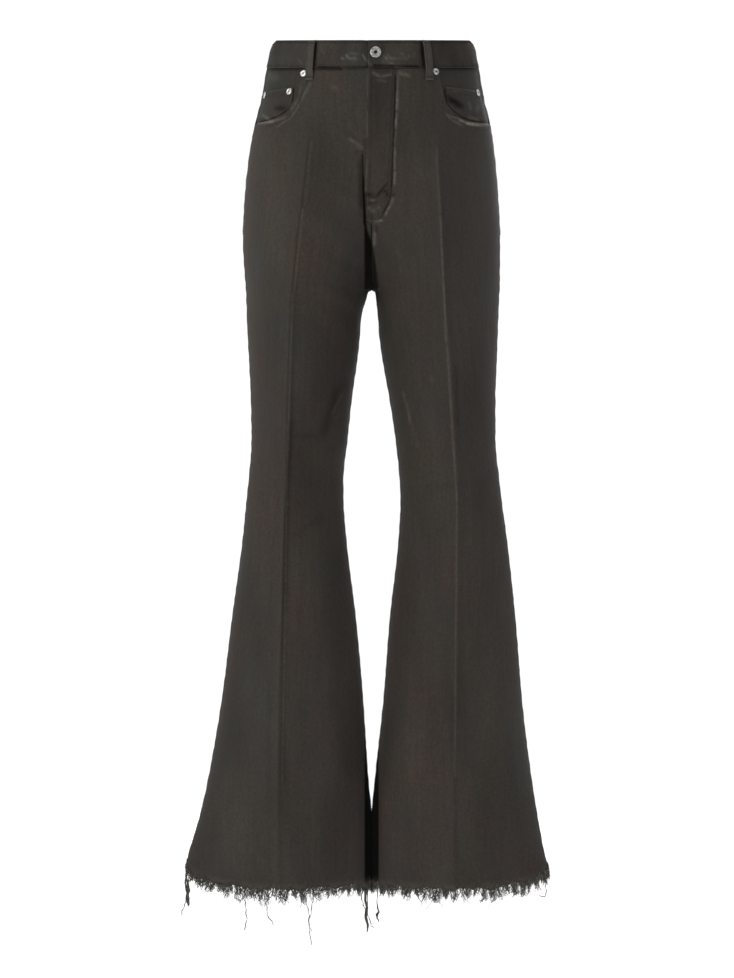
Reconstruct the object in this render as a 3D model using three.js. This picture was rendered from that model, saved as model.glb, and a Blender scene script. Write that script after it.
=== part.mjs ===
// Flared five-pocket jeans, worn shape with nobody in them, millimetres, +Z up.
// The front faces -Y and the wearer's left is +X. The origin is the centre of the waist, at
// half the height of the waistband, where the wearer's waist holds the garment up.
import * as THREE from 'three';

// Cloth
const CLOTH = 1.8;
const SEAM = 0.15;
const LAYER_GAP = 0.5;

// Waist: the plane of the waistband leans, so the back is higher than the front
const BAND_HEIGHT = 38;
const BAND_THICK = 2.4;
const BAND_PROUD = 0.7;
const BAND_GAP = 0.3;
const WAIST_LEAN = 0.13;
const LAP_END_X = -5;
const UNDERLAP_X = 26;
const LAP_BLEND = 14;
// The upper edge of the band dips towards each side seam
const SIDE_DIP = { depth: 6.5, reach: 17 };

// Legs
const CROTCH_Z = -327;
const HEM_Z = -1150.5;
const HEM_SIDE_RISE = { left: 28.5, right: 34.5 };
const HEM_INNER_RISE = 5;
const HEM_BLEND_START = -960;
// Just under the crotch the inner edges part at once, by a notch that fades further down
const NOTCH = { depth: 4, full: -333, gone: -400, sharpness: 10 };
const CREASE_SHARPNESS = 0.26;
const CREASE_FADE = { top: -60, full: -170 };
const WAIST_BLEND = { top: -30, full: -175 };
const CREASE_WAIST_ANGLE = THREE.MathUtils.degToRad(52);
const CREASE_T = 0.5;
// Columns of each panel, side seam to inner seam, closer together along the pocket's mouth
const FRONT_COLUMNS = [
  0, 1 / 12, 1 / 6, 1 / 4, 1 / 3, 5 / 12, 0.45, 0.475, CREASE_T, 0.6, 0.7, 0.8, 0.9, 1,
];
const BACK_COLUMNS = [
  0, 1 / 12, 1 / 6, 1 / 4, 1 / 3, 5 / 12, CREASE_T, 7 / 12, 2 / 3, 3 / 4, 5 / 6, 11 / 12, 1,
];
const sideName = (leg) => (leg > 0 ? 'left' : 'right');
const columnsOf = (face) => (face < 0 ? FRONT_COLUMNS : BACK_COLUMNS);

// One row a level: side outline of each leg, inner edge of each leg, crease of each leg
const WIDTHS = [
  { z: 25, sideL: 140, sideR: 136.5, innerL: 0.15, innerR: 0.15, creaseL: 82, creaseR: 78 },
  { z: 5, sideL: 143.5, sideR: 140, innerL: 0.15, innerR: 0.15, creaseL: 83, creaseR: 79 },
  { z: -22, sideL: 148.5, sideR: 145.5, innerL: 0.15, innerR: 0.15, creaseL: 84, creaseR: 80 },
  { z: -64, sideL: 155.5, sideR: 152.5, innerL: 0.15, innerR: 0.15, creaseL: 86, creaseR: 82 },
  { z: -91, sideL: 162.5, sideR: 160, innerL: 0.15, innerR: 0.15, creaseL: 87, creaseR: 84 },
  { z: -147, sideL: 170.5, sideR: 170, innerL: 0.15, innerR: 0.15, creaseL: 88, creaseR: 88 },
  { z: -202, sideL: 175, sideR: 175.5, innerL: 0.15, innerR: 0.15, creaseL: 91, creaseR: 94 },
  { z: -257, sideL: 177.5, sideR: 178, innerL: 0.15, innerR: 0.15, creaseL: 94, creaseR: 102 },
  { z: -327, sideL: 177, sideR: 174, innerL: 0.15, innerR: 0.15, creaseL: 98, creaseR: 109 },
  { z: -333, sideL: 176.5, sideR: 173.6, innerL: 1, innerR: 1.6, creaseL: 99, creaseR: 110 },
  { z: -368, sideL: 175, sideR: 172.5, innerL: 7.5, innerR: 13.4, creaseL: 101, creaseR: 112 },
  { z: -424, sideL: 173, sideR: 169.5, innerL: 15.6, innerR: 20.4, creaseL: 107, creaseR: 114 },
  { z: -479, sideL: 171, sideR: 167, innerL: 25.3, innerR: 28.2, creaseL: 111, creaseR: 116 },
  { z: -534, sideL: 171, sideR: 166, innerL: 33.5, innerR: 34, creaseL: 114, creaseR: 117 },
  { z: -590, sideL: 176.3, sideR: 170, innerL: 39.2, innerR: 39.7, creaseL: 117, creaseR: 118 },
  { z: -618, sideL: 179.5, sideR: 173, innerL: 40.4, innerR: 39.5, creaseL: 117, creaseR: 119 },
  { z: -673, sideL: 187, sideR: 178.5, innerL: 37.5, innerR: 35.4, creaseL: 117, creaseR: 121 },
  { z: -784, sideL: 199, sideR: 193.5, innerL: 25.3, innerR: 22, creaseL: 116, creaseR: 124 },
  { z: -895, sideL: 208, sideR: 207.5, innerL: 16.6, innerR: 12.2, creaseL: 115, creaseR: 127 },
  { z: -1005, sideL: 221.5, sideR: 226.5, innerL: 4.8, innerR: 5, creaseL: 112, creaseR: 128 },
  { z: -1061, sideL: 230.5, sideR: 239.5, innerL: 0.45, innerR: 0.45, creaseL: 112, creaseR: 128 },
  { z: -1112, sideL: 240.5, sideR: 254.5, innerL: 0.45, innerR: 0.45, creaseL: 112, creaseR: 128 },
  { z: -1160, sideL: 256, sideR: 263, innerL: 0.45, innerR: 0.45, creaseL: 112, creaseR: 128 },
];

// One row a level: depth of the cloth at the front and back crease, and at the two side seams
const DEPTHS = [
  { z: 25, front: -107, back: 112, side: 0 },
  { z: -22, front: -110, back: 116, side: 0 },
  { z: -64, front: -114, back: 124, side: 0 },
  { z: -147, front: -118, back: 136, side: 2 },
  { z: -202, front: -117, back: 138, side: 2 },
  { z: -257, front: -113, back: 131, side: 2 },
  { z: -327, front: -105, back: 114, side: 2 },
  { z: -368, front: -99, back: 104, side: 1 },
  { z: -424, front: -92, back: 92, side: 0 },
  { z: -534, front: -77, back: 70, side: -2 },
  { z: -590, front: -71, back: 61, side: -3 },
  { z: -673, front: -69, back: 59, side: -3 },
  { z: -784, front: -69, back: 63, side: -2 },
  { z: -895, front: -69, back: 66, side: -1 },
  { z: -1005, front: -67, back: 65, side: 0 },
  { z: -1160, front: -60, back: 59, side: 0 },
];

// One row a level: how far each thigh's round would reach past the centre, front and back
const REACH = [
  { z: 25, front: 420, back: 420 },
  { z: -64, front: 380, back: 380 },
  { z: -147, front: 300, back: 300 },
  { z: -202, front: 190, back: 240 },
  { z: -243, front: 95, back: 165 },
  { z: -270, front: 48, back: 92 },
  { z: -300, front: 15, back: 32 },
  { z: -318, front: 3.5, back: 8 },
  { z: -327, front: -0.15, back: -0.15 },
];

// Largest folds, one row each: leg (1 is +X), face (-1 is the front), ends, width and height
const FOLDS = [
  { leg: -1, face: -1, x0: 30, z0: -446, x1: 70, z1: -528, width: 13, height: 3.2 },
  { leg: -1, face: -1, x0: 56, z0: -440, x1: 84, z1: -500, width: 12, height: -2.4 },
  { leg: -1, face: -1, x0: 42, z0: -560, x1: 104, z1: -532, width: 10, height: 1.8 },
  { leg: 1, face: -1, x0: 48, z0: -505, x1: 98, z1: -560, width: 12, height: 2.2 },
  { leg: 1, face: -1, x0: 122, z0: -600, x1: 168, z1: -634, width: 13, height: -2.2 },
  { leg: 1, face: -1, x0: 24, z0: -268, x1: 84, z1: -236, width: 13, height: 2.2 },
  { leg: -1, face: -1, x0: 26, z0: -262, x1: 88, z1: -232, width: 13, height: 2.4 },
  { leg: 1, face: 1, x0: 20, z0: -318, x1: 128, z1: -292, width: 13, height: 3.4 },
  { leg: -1, face: 1, x0: 22, z0: -316, x1: 134, z1: -296, width: 14, height: 3.2 },
  { leg: 1, face: 1, x0: 40, z0: -362, x1: 132, z1: -330, width: 12, height: -2.6 },
  { leg: -1, face: 1, x0: 44, z0: -366, x1: 126, z1: -334, width: 12, height: -2.4 },
  { leg: 1, face: 1, x0: 58, z0: -588, x1: 142, z1: -566, width: 12, height: 3 },
  { leg: -1, face: 1, x0: 56, z0: -584, x1: 138, z1: -570, width: 12, height: 2.8 },
  { leg: 1, face: 1, x0: 60, z0: -628, x1: 138, z1: -606, width: 11, height: -2.2 },
  { leg: -1, face: 1, x0: 62, z0: -624, x1: 136, z1: -610, width: 11, height: -2.2 },
];

// Rows of each panel below its top part, in bands
const BANDS = [
  { from: -130, to: -265, steps: 4 },
  { from: -265, to: -327, steps: 3 },
  { from: -327, to: -333, steps: 1 },
  { from: -333, to: -555, steps: 6 },
  { from: -555, to: -665, steps: 3 },
  { from: -665, to: -1150.5, steps: 10 },
];
const TOP_ROWS = 5;

// Scooped mouth of each front pocket, from the waist seam round to the side seam
const SCOOP = [
  { x: 92.5, left: -30, right: -30 },
  { x: 94.2, left: -49, right: -38 },
  { x: 96.5, left: -61, right: -46 },
  { x: 100.5, left: -77, right: -58 },
  { x: 107, left: -86.5, right: -76 },
  { x: 117, left: -94.5, right: -90 },
  { x: 130, left: -100.5, right: -96.5 },
  { x: 146, left: -102.5, right: -100 },
  { x: 164, left: -99, right: -100 },
];
const FACING = { inset: 2.4, thick: 1.2, flushFrom: -97, flushTo: -79, tInner: 0.55, rows: 6 };
const FACING_EDGE = [
  { x: 84, z: -62 },
  { x: 91, z: -76 },
  { x: 98, z: -89 },
  { x: 106, z: -98 },
  { x: 116, z: -106 },
  { x: 129, z: -111 },
  { x: 146, z: -113 },
  { x: 164, z: -110 },
];
const COIN = { thick: 1, topZ: -56, rows: 4, bottomClear: 1.8, shortest: 6, tOuter: 0.14 };
const COIN_SIDES = [
  { leg: 1, name: 'left', tInner: 0.468 },
  { leg: -1, name: 'right', tInner: 0.425 },
];

// Fly placket with its J-shaped edge
const FLY = {
  topX: 34, lowX: 27, curveZ: -196, bottomZ: -243, tipX: -8, gap: 0.7, thick: 1.4, columns: 5,
};
const FLY_EDGE = [
  { z: -25, x: -3.7 },
  { z: -125, x: -7 },
  { z: -208, x: -11 },
  { z: -243, x: -9 },
];
const FLY_STRAIGHT_ROWS = 6;
const FLY_CURVE_ROWS = 5;

// Back yoke and patch pockets
const YOKE = { centreZ: -76, sideZ: -56, rows: 4 };
const BACK_POCKET = { topZ: -98, sideDrop: 122, pointDrop: 140, gap: 0.9, thick: 1.3, rows: 6 };
const BACK_POCKET_EDGES = { outerTop: 0.19, outerLow: 0.235, innerTop: 0.955, innerLow: 0.925 };

// Belt loops: two in front, two behind the hips, one at the centre back
const LOOP = { width: 11, thick: 1.7, stand: 3.2, above: -0.4, below: 17, foot: 7 };
const LOOPS = [
  { name: 'belt_loop_front_left', face: -1, xTop: 72.4, xLow: 78 },
  { name: 'belt_loop_front_right', face: -1, xTop: -79.7, xLow: -84.4 },
  { name: 'belt_loop_back_left', face: 1, xTop: 84, xLow: 86 },
  { name: 'belt_loop_back_right', face: 1, xTop: -84, xLow: -86 },
  { name: 'belt_loop_centre_back', face: 1, xTop: 0, xLow: 0 },
];

// Button and rivets
const BUTTON = { x: 5, z: -12.5, radius: 7.8, hole: 2.1, height: 4.2, sides: 20 };
const RIVET = { radius: 4.7, height: 1.6, sides: 12, seat: 0.5 };
const RIVETS = [
  { name: 'rivet_scoop_left', x: 86.6, z: -36, on: 'panel' },
  { name: 'rivet_scoop_right', x: -92.6, z: -38, on: 'panel' },
  { name: 'rivet_coin_outer_left', x: 146, z: -58.5, on: 'coin' },
  { name: 'rivet_coin_inner_right', x: -112.6, z: -61.5, on: 'coin' },
  { name: 'rivet_coin_outer_right', x: -147.5, z: -60.5, on: 'coin' },
];

// Frayed hem: a narrow strip of the cloth's edge, with its threads
const HEM = { strip: 4, pitch: 6, shortest: 5, longest: 15, gap: 0.3, waist: 0.46, tip: 0.9 };
// Long loose threads: leg, position across the front, length and sideways drift of its end
const THREADS = [
  { leg: -1, x: 250, length: 52, drift: 2 },
  { leg: -1, x: 176, length: 44, drift: 4 },
  { leg: -1, x: 146, length: 34, drift: 5 },
  { leg: -1, x: 84, length: 62, drift: 3 },
  { leg: -1, x: 8, length: 58, drift: 2 },
  { leg: 1, x: 8, length: 42, drift: 1 },
  { leg: 1, x: 236, length: 28, drift: -3 },
];
const THREAD_WIDTH = 1.3;
const THREAD_STEPS = 4;

const COLOURS = {
  panel: 0x3b3732,
  yoke: 0x3a3631,
  band: 0x3d3934,
  facing: 0x37342f,
  pocket: 0x3a3732,
  loop: 0x413d37,
  thread: 0x57524a,
  metal: 0xc9c9c6,
};

const lerp = THREE.MathUtils.lerp;
const clamp = THREE.MathUtils.clamp;
const smooth = (value, from, to) => THREE.MathUtils.smoothstep(
  to > from ? value : -value,
  to > from ? from : -from,
  to > from ? to : -to,
);

// Value of a named column between the rows of a table, smooth and without overshoot
function column(table, key, name, at) {
  const rising = table[table.length - 1][key] > table[0][key];
  const rows = rising ? table : [...table].reverse();
  const last = rows.length - 1;
  if (at <= rows[0][key]) return rows[0][name];
  if (at >= rows[last][key]) return rows[last][name];
  let i = 0;
  while (rows[i + 1][key] < at) i += 1;
  const slope = (k) => (rows[k + 1][name] - rows[k][name]) / (rows[k + 1][key] - rows[k][key]);
  const tangent = (k) => {
    if (k === 0) return slope(0);
    if (k === last) return slope(last - 1);
    const a = slope(k - 1);
    const b = slope(k);
    return a * b <= 0 ? 0 : (2 * a * b) / (a + b);
  };
  const width = rows[i + 1][key] - rows[i][key];
  const s = (at - rows[i][key]) / width;
  const a = rows[i][name];
  const b = rows[i + 1][name];
  const h = s * s * (3 - 2 * s);
  return a + (b - a) * h
    + width * s * (1 - s) * ((1 - s) * tangent(i) - s * tangent(i + 1));
}

const leanAt = (y) => WAIST_LEAN * y;
const bandLow = (y) => -BAND_HEIGHT / 2 + leanAt(y);
const bandHigh = (y) => BAND_HEIGHT / 2 + leanAt(y);

function foldHeight(leg, face, x, z) {
  let sum = 0;
  for (const fold of FOLDS) {
    if (fold.leg !== leg || fold.face !== face) continue;
    const dx = fold.x1 - fold.x0;
    const dz = fold.z1 - fold.z0;
    const size = dx * dx + dz * dz;
    const along = ((x - fold.x0) * dx + (z - fold.z0) * dz) / size;
    const across = ((x - fold.x0) * dz - (z - fold.z0) * dx) / Math.sqrt(size);
    const taper = smooth(along, -0.25, 0.3) * smooth(along, 1.25, 0.7);
    sum += fold.height * taper * Math.exp(-((across / fold.width) ** 2));
  }
  return sum;
}

// Section of one leg at height z: t runs from the side seam (0) over the crease (0.5) to the
// inner seam or, above the crotch, to the centre seam (1). face is -1 in front, 1 behind.
function section(leg, face, t, z) {
  const side = column(WIDTHS, 'z', leg > 0 ? 'sideL' : 'sideR', z);
  const crease = column(WIDTHS, 'z', leg > 0 ? 'creaseL' : 'creaseR', z);
  const depth = column(DEPTHS, 'z', face < 0 ? 'front' : 'back', z);
  const seamY = column(DEPTHS, 'z', 'side', z);
  const inner = z > CROTCH_Z
    ? -column(REACH, 'z', face < 0 ? 'front' : 'back', z)
    : column(WIDTHS, 'z', leg > 0 ? 'innerL' : 'innerR', z);
  const sharp = CREASE_SHARPNESS * smooth(z, CREASE_FADE.top, CREASE_FADE.full);
  const outer = t <= CREASE_T;
  const part = outer ? t / CREASE_T : (1 - t) / (1 - CREASE_T);
  const stop = z > CROTCH_Z ? Math.acos(clamp((crease - SEAM) / (crease - inner), 0, 1)) : 0;
  const angle = outer ? part * Math.PI / 2 : lerp(stop, Math.PI / 2, part);
  const notch = z > CROTCH_Z ? 0 : NOTCH.depth * Math.min(
    (CROTCH_Z - z) / (CROTCH_Z - NOTCH.full),
    1 - smooth(z, NOTCH.full, NOTCH.gone),
  );
  const legX = outer
    ? crease + (side - crease) * Math.cos(angle)
    : crease - (crease - inner) * Math.cos(angle) + notch * Math.cos(angle) ** NOTCH.sharpness;
  const round = (1 - sharp) * Math.sin(angle) + sharp * (1 - Math.cos(angle));
  const legY = seamY + (depth - seamY) * round;
  const turn = outer
    ? part * CREASE_WAIST_ANGLE
    : lerp(Math.PI / 2, CREASE_WAIST_ANGLE, part);
  const waistX = SEAM + (side - SEAM) * Math.cos(turn);
  const waistY = depth * Math.sin(turn);
  const blend = smooth(z, WAIST_BLEND.top, WAIST_BLEND.full);
  const x = lerp(waistX, legX, blend);
  const y = lerp(waistY, legY, blend) + face * foldHeight(leg, face, x, z) * round + face * SEAM;
  return new THREE.Vector2(x, y);
}

// Index of the column left of t, and how far t is on the way to the next
function between(list, t) {
  let j = 0;
  while (j < list.length - 2 && list[j + 1] < t) j += 1;
  return { j, part: clamp((t - list[j]) / (list[j + 1] - list[j]), 0, 1) };
}

// The same section cut into flats at the panel's columns, so that what lies on it fits it
function flat(leg, face, t, z) {
  const list = columnsOf(face);
  const { j, part } = between(list, t);
  return section(leg, face, list[j], z).lerp(section(leg, face, list[j + 1], z), part);
}

function outward(leg, face, t, z) {
  const step = 0.04;
  const a = section(leg, face, Math.max(t - step, 0), z);
  const b = section(leg, face, Math.min(t + step, 1), z);
  const along = b.sub(a);
  const normal = new THREE.Vector2(along.y, -along.x).multiplyScalar(face).normalize();
  if (t <= 0) return new THREE.Vector2(1, 0);
  if (t >= 1 && z <= CROTCH_Z) return new THREE.Vector2(-1, 0);
  return normal;
}

// A point of the cloth, moved out by a distance, in the garment's frame
function place(leg, face, t, z, out) {
  const at = flat(leg, face, t, z);
  const n = outward(leg, face, t, z);
  let x = at.x + n.x * out;
  if (z > CROTCH_Z) x = Math.max(x, SEAM);
  return new THREE.Vector3(leg * x, at.y + n.y * out, z);
}

// t of the point that lies at a distance x from the centre plane
function tAt(leg, face, x, z) {
  let low = 0;
  let high = 1;
  for (let i = 0; i < 40; i += 1) {
    const mid = (low + high) / 2;
    if (flat(leg, face, mid, z).x > Math.abs(x)) low = mid;
    else high = mid;
  }
  return (low + high) / 2;
}

// A point found by its x, on either leg, moved out along the normal
function placeAtX(face, x, z, out) {
  const leg = x < 0 ? -1 : 1;
  return place(leg, face, tAt(leg, face, x, z), z, out);
}

// Height of the raw edge: highest at the side seam, lowest at the crease
function hemZ(leg, face, t) {
  const list = columnsOf(face);
  const { j, part } = between(list, t);
  const drop = (at) => HEM_Z + (at < CREASE_T ? HEM_SIDE_RISE[sideName(leg)] : HEM_INNER_RISE)
    * (1 - at / CREASE_T) ** 2;
  return lerp(drop(list[j]), drop(list[j + 1]), part);
}

function waistZ(leg, face, t) {
  let z = bandLow(0);
  for (let i = 0; i < 6; i += 1) z = bandLow(flat(leg, face, t, z).y);
  return z - BAND_GAP;
}

function solid(positions, indices) {
  const geometry = new THREE.BufferGeometry();
  let volume = 0;
  const p = (k) => positions[k];
  for (let i = 0; i < indices.length; i += 3) {
    const [a, b, c] = [p(indices[i]), p(indices[i + 1]), p(indices[i + 2])];
    volume += a.dot(new THREE.Vector3().crossVectors(b, c));
  }
  const order = [];
  for (let i = 0; i < indices.length; i += 3) {
    order.push(indices[i]);
    order.push(volume > 0 ? indices[i + 1] : indices[i + 2]);
    order.push(volume > 0 ? indices[i + 2] : indices[i + 1]);
  }
  const flatList = positions.flatMap((v) => [v.x, v.y, v.z]);
  geometry.setAttribute('position', new THREE.Float32BufferAttribute(flatList, 3));
  geometry.setIndex(order);
  geometry.computeVertexNormals();
  return geometry;
}

// A closed wall between an outer and an inner grid of points, both rows by columns
function wall(outer, inner) {
  const rows = outer.length;
  const cols = outer[0].length;
  const positions = [...outer.flat(), ...inner.flat()];
  const half = rows * cols;
  const indices = [];
  const quad = (a, b, c, d) => indices.push(a, b, c, a, c, d);
  const at = (i, j) => i * cols + j;
  for (let i = 0; i < rows - 1; i += 1) {
    for (let j = 0; j < cols - 1; j += 1) {
      quad(at(i, j), at(i, j + 1), at(i + 1, j + 1), at(i + 1, j));
      quad(half + at(i, j), half + at(i + 1, j), half + at(i + 1, j + 1), half + at(i, j + 1));
    }
  }
  const ring = [];
  for (let j = 0; j < cols - 1; j += 1) ring.push(at(0, j));
  for (let i = 0; i < rows - 1; i += 1) ring.push(at(i, cols - 1));
  for (let j = cols - 1; j > 0; j -= 1) ring.push(at(rows - 1, j));
  for (let i = rows - 1; i > 0; i -= 1) ring.push(at(i, 0));
  ring.forEach((a, k) => {
    const b = ring[(k + 1) % ring.length];
    quad(a, half + a, half + b, b);
  });
  return solid(positions, indices);
}

const group = new THREE.Group();

function add(name, geometry, color, metalness = 0, roughness = 0.85) {
  const material = new THREE.MeshStandardMaterial({ color, roughness, metalness });
  const mesh = new THREE.Mesh(geometry, material);
  mesh.name = name;
  group.add(mesh);
  return mesh;
}

const steps = (count) => Array.from({ length: count + 1 }, (unused, i) => i / count);

// Rows of z below the top of a panel
function lowerRows() {
  const list = [BANDS[0].from];
  for (const band of BANDS) {
    for (let i = 1; i <= band.steps; i += 1) list.push(lerp(band.from, band.to, i / band.steps));
  }
  return list;
}

// The hem's droop is worked into the rows above it
const rowZ = (z, leg, face, t) => z + (hemZ(leg, face, t) - HEM_Z) * clamp(
  (HEM_BLEND_START - z) / (HEM_BLEND_START - HEM_Z),
  0,
  1,
);

// A panel: its top edge is a height for each column
function panelGrid(leg, face, top, out) {
  const list = columnsOf(face);
  const upper = steps(TOP_ROWS).slice(0, -1).map((s) => list.map(
    (t, j) => place(leg, face, t, lerp(top[j], BANDS[0].from, s), out),
  ));
  const lower = lowerRows().map((z) => list.map(
    (t) => place(leg, face, t, rowZ(z, leg, face, t), out),
  ));
  return [...upper, ...lower];
}

// Height at which a column of the front crosses the pocket's mouth
function scoopZ(leg, t) {
  const side = sideName(leg);
  let z = SCOOP[SCOOP.length - 1][side];
  for (let i = 0; i < 60; i += 1) {
    z = lerp(z, column(SCOOP, 'x', side, section(leg, -1, t, z).x), 0.3);
  }
  return z;
}

// Top edge of the front: round the scoop, then along the waist seam to the centre
const frontTop = (leg) => FRONT_COLUMNS.map(
  (t) => (t < CREASE_T ? scoopZ(leg, t) : waistZ(leg, -1, t)),
);

const yokeZ = (leg, t) => {
  const x = flat(leg, 1, t, YOKE.centreZ).x;
  return lerp(YOKE.centreZ, YOKE.sideZ, x / flat(leg, 1, 0, YOKE.centreZ).x);
};

for (const leg of [1, -1]) {
  const front = frontTop(leg);
  add(
    `front_panel_${sideName(leg)}`,
    wall(panelGrid(leg, -1, front, 0), panelGrid(leg, -1, front, -CLOTH)),
    COLOURS.panel,
  );
  const back = BACK_COLUMNS.map((t) => yokeZ(leg, t) - 2 * SEAM);
  add(
    `back_panel_${sideName(leg)}`,
    wall(panelGrid(leg, 1, back, 0), panelGrid(leg, 1, back, -CLOTH)),
    COLOURS.panel,
  );
  const yoke = (out) => steps(YOKE.rows).map((s) => BACK_COLUMNS.map((t) => place(
    leg,
    1,
    t,
    lerp(waistZ(leg, 1, t), yokeZ(leg, t), s),
    out,
  )));
  add(`back_yoke_${sideName(leg)}`, wall(yoke(0), yoke(-CLOTH)), COLOURS.yoke);
}

// The facing lies behind the front panel, and comes level with the yoke at the side seam
const facingOut = (t, z) => -FACING.inset * (
  t > 0 ? 1 : 1 - smooth(z, FACING.flushFrom, FACING.flushTo)
);

// Pocket facing, from the waist seam to just below the scoop's edge
const facingColumns = [...FRONT_COLUMNS.filter((t) => t <= CREASE_T), FACING.tInner];

function facing(leg, out) {
  return steps(FACING.rows).map((v) => facingColumns.map((t) => {
    const high = waistZ(leg, -1, t);
    const low = column(FACING_EDGE, 'x', 'z', flat(leg, -1, t, -85).x);
    const z = lerp(high, low, v);
    return place(leg, -1, t, z, facingOut(t, z) + out);
  }));
}

for (const leg of [1, -1]) {
  add(
    `pocket_facing_${sideName(leg)}`,
    wall(facing(leg, 0), facing(leg, -FACING.thick)),
    COLOURS.facing,
  );
}

// Coin pocket on the facing, inside the scoop
function coin(leg, shape, out) {
  const inside = FRONT_COLUMNS.filter((t) => t > COIN.tOuter && t < shape.tInner);
  const places = [COIN.tOuter, ...inside, shape.tInner];
  return steps(COIN.rows).map((v) => places.map((t) => {
    const low = scoopZ(leg, t) + COIN.bottomClear;
    const z = lerp(COIN.topZ, Math.min(low, COIN.topZ - COIN.shortest), v);
    return place(leg, -1, t, z, LAYER_GAP - FACING.inset + out);
  }));
}

for (const shape of COIN_SIDES) {
  add(
    `coin_pocket_${shape.name}`,
    wall(coin(shape.leg, shape, COIN.thick), coin(shape.leg, shape, 0)),
    COLOURS.pocket,
  );
}

// Fly placket: straight down, then round to the centre
function flyRight(z) {
  if (z > FLY.curveZ) return lerp(FLY.topX, FLY.lowX, (z + 25) / (FLY.curveZ + 25));
  const s = (FLY.curveZ - z) / (FLY.curveZ - FLY.bottomZ);
  return FLY.tipX + (FLY.lowX - FLY.tipX) * Math.sqrt(Math.max(1 - s * s, 0.004));
}

function flyGrid(out) {
  const straight = steps(FLY_STRAIGHT_ROWS).map((s) => lerp(0, FLY.curveZ, s));
  const curve = steps(FLY_CURVE_ROWS).slice(1)
    .map((s) => lerp(FLY.curveZ, FLY.bottomZ, Math.sin(s * Math.PI / 2)));
  return [...straight, ...curve].map((level, i) => steps(FLY.columns).map((u) => {
    let z = level;
    const x = () => lerp(column(FLY_EDGE, 'z', 'x', z), flyRight(z), u);
    if (i < FLY_STRAIGHT_ROWS) {
      const leg = x() < 0 ? -1 : 1;
      z = lerp(waistZ(leg, -1, tAt(leg, -1, x(), -30)), FLY.curveZ, i / FLY_STRAIGHT_ROWS);
    }
    const at = placeAtX(-1, x(), z, 0);
    return new THREE.Vector3(x(), at.y - FLY.gap - out, z);
  }));
}

add('fly_placket', wall(flyGrid(FLY.thick), flyGrid(0)), COLOURS.panel);

// Back patch pocket with a pointed foot, its columns on the panel's columns
function backPocket(leg, out) {
  const { topZ, sideDrop, pointDrop, rows } = BACK_POCKET;
  const { outerTop, outerLow, innerTop, innerLow } = BACK_POCKET_EDGES;
  const inside = BACK_COLUMNS.filter((t) => t > outerLow && t < innerLow);
  return steps(rows).map((v) => {
    const outer = lerp(outerTop, outerLow, v);
    const inner = lerp(innerTop, innerLow, v);
    return [outer, ...inside, inner].map((t) => {
      const u = (t - outer) / (inner - outer) * 2 - 1;
      const z = topZ - lerp(pointDrop, sideDrop, Math.abs(u)) * v;
      return place(leg, 1, t, z, BACK_POCKET.gap + out);
    });
  });
}

for (const leg of [1, -1]) {
  add(
    `back_pocket_${sideName(leg)}`,
    wall(backPocket(leg, BACK_POCKET.thick), backPocket(leg, 0)),
    COLOURS.pocket,
  );
}

// Waistband: one strip right round, its left end lapping over its right end at the front
function bandStations() {
  const list = [];
  list.push({ leg: 1, face: -1, x: UNDERLAP_X, under: 1 });
  list.push({ leg: 1, face: -1, x: UNDERLAP_X / 2, under: 1 });
  list.push({ leg: -1, face: -1, x: -3, under: 1 });
  list.push({ leg: -1, face: -1, x: -(3 + LAP_BLEND), under: 0 });
  for (const t of [...FRONT_COLUMNS].reverse()) {
    if (flat(-1, -1, t, 0).x > 3 + LAP_BLEND + 5) list.push({ leg: -1, face: -1, t, under: 0 });
  }
  for (const t of BACK_COLUMNS.slice(1)) list.push({ leg: -1, face: 1, t, under: 0 });
  for (const t of [...BACK_COLUMNS].reverse().slice(1)) list.push({ leg: 1, face: 1, t, under: 0 });
  for (const t of FRONT_COLUMNS.slice(1, -1)) list.push({ leg: 1, face: -1, t, under: 0 });
  list.push({ leg: 1, face: -1, x: 3, under: 0 });
  list.push({ leg: -1, face: -1, x: LAP_END_X, under: 0 });
  return list;
}

function bandGrid(out) {
  return steps(2).map((v) => bandStations().map((station) => {
    const { leg, face, x, under } = station;
    const t = x === undefined ? station.t : tAt(leg, face, x, 0);
    const seamY = waistZ(leg, face, t);
    const foot = place(leg, face, t, seamY + BAND_GAP, 0);
    const widest = flat(leg, face, 0, 0).x;
    const dip = SIDE_DIP.depth * smooth(flat(leg, face, t, 0).x, widest - SIDE_DIP.reach, widest);
    const z = lerp(bandLow(foot.y), bandHigh(foot.y) - dip, v);
    const inset = under * (BAND_THICK + LAYER_GAP);
    const at = place(leg, face, t, Math.min(z, WIDTHS[0].z), BAND_PROUD - inset + out);
    return new THREE.Vector3(at.x, at.y, z);
  }));
}

add('waistband', wall(bandGrid(0), bandGrid(-BAND_THICK)), COLOURS.band);

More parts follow.
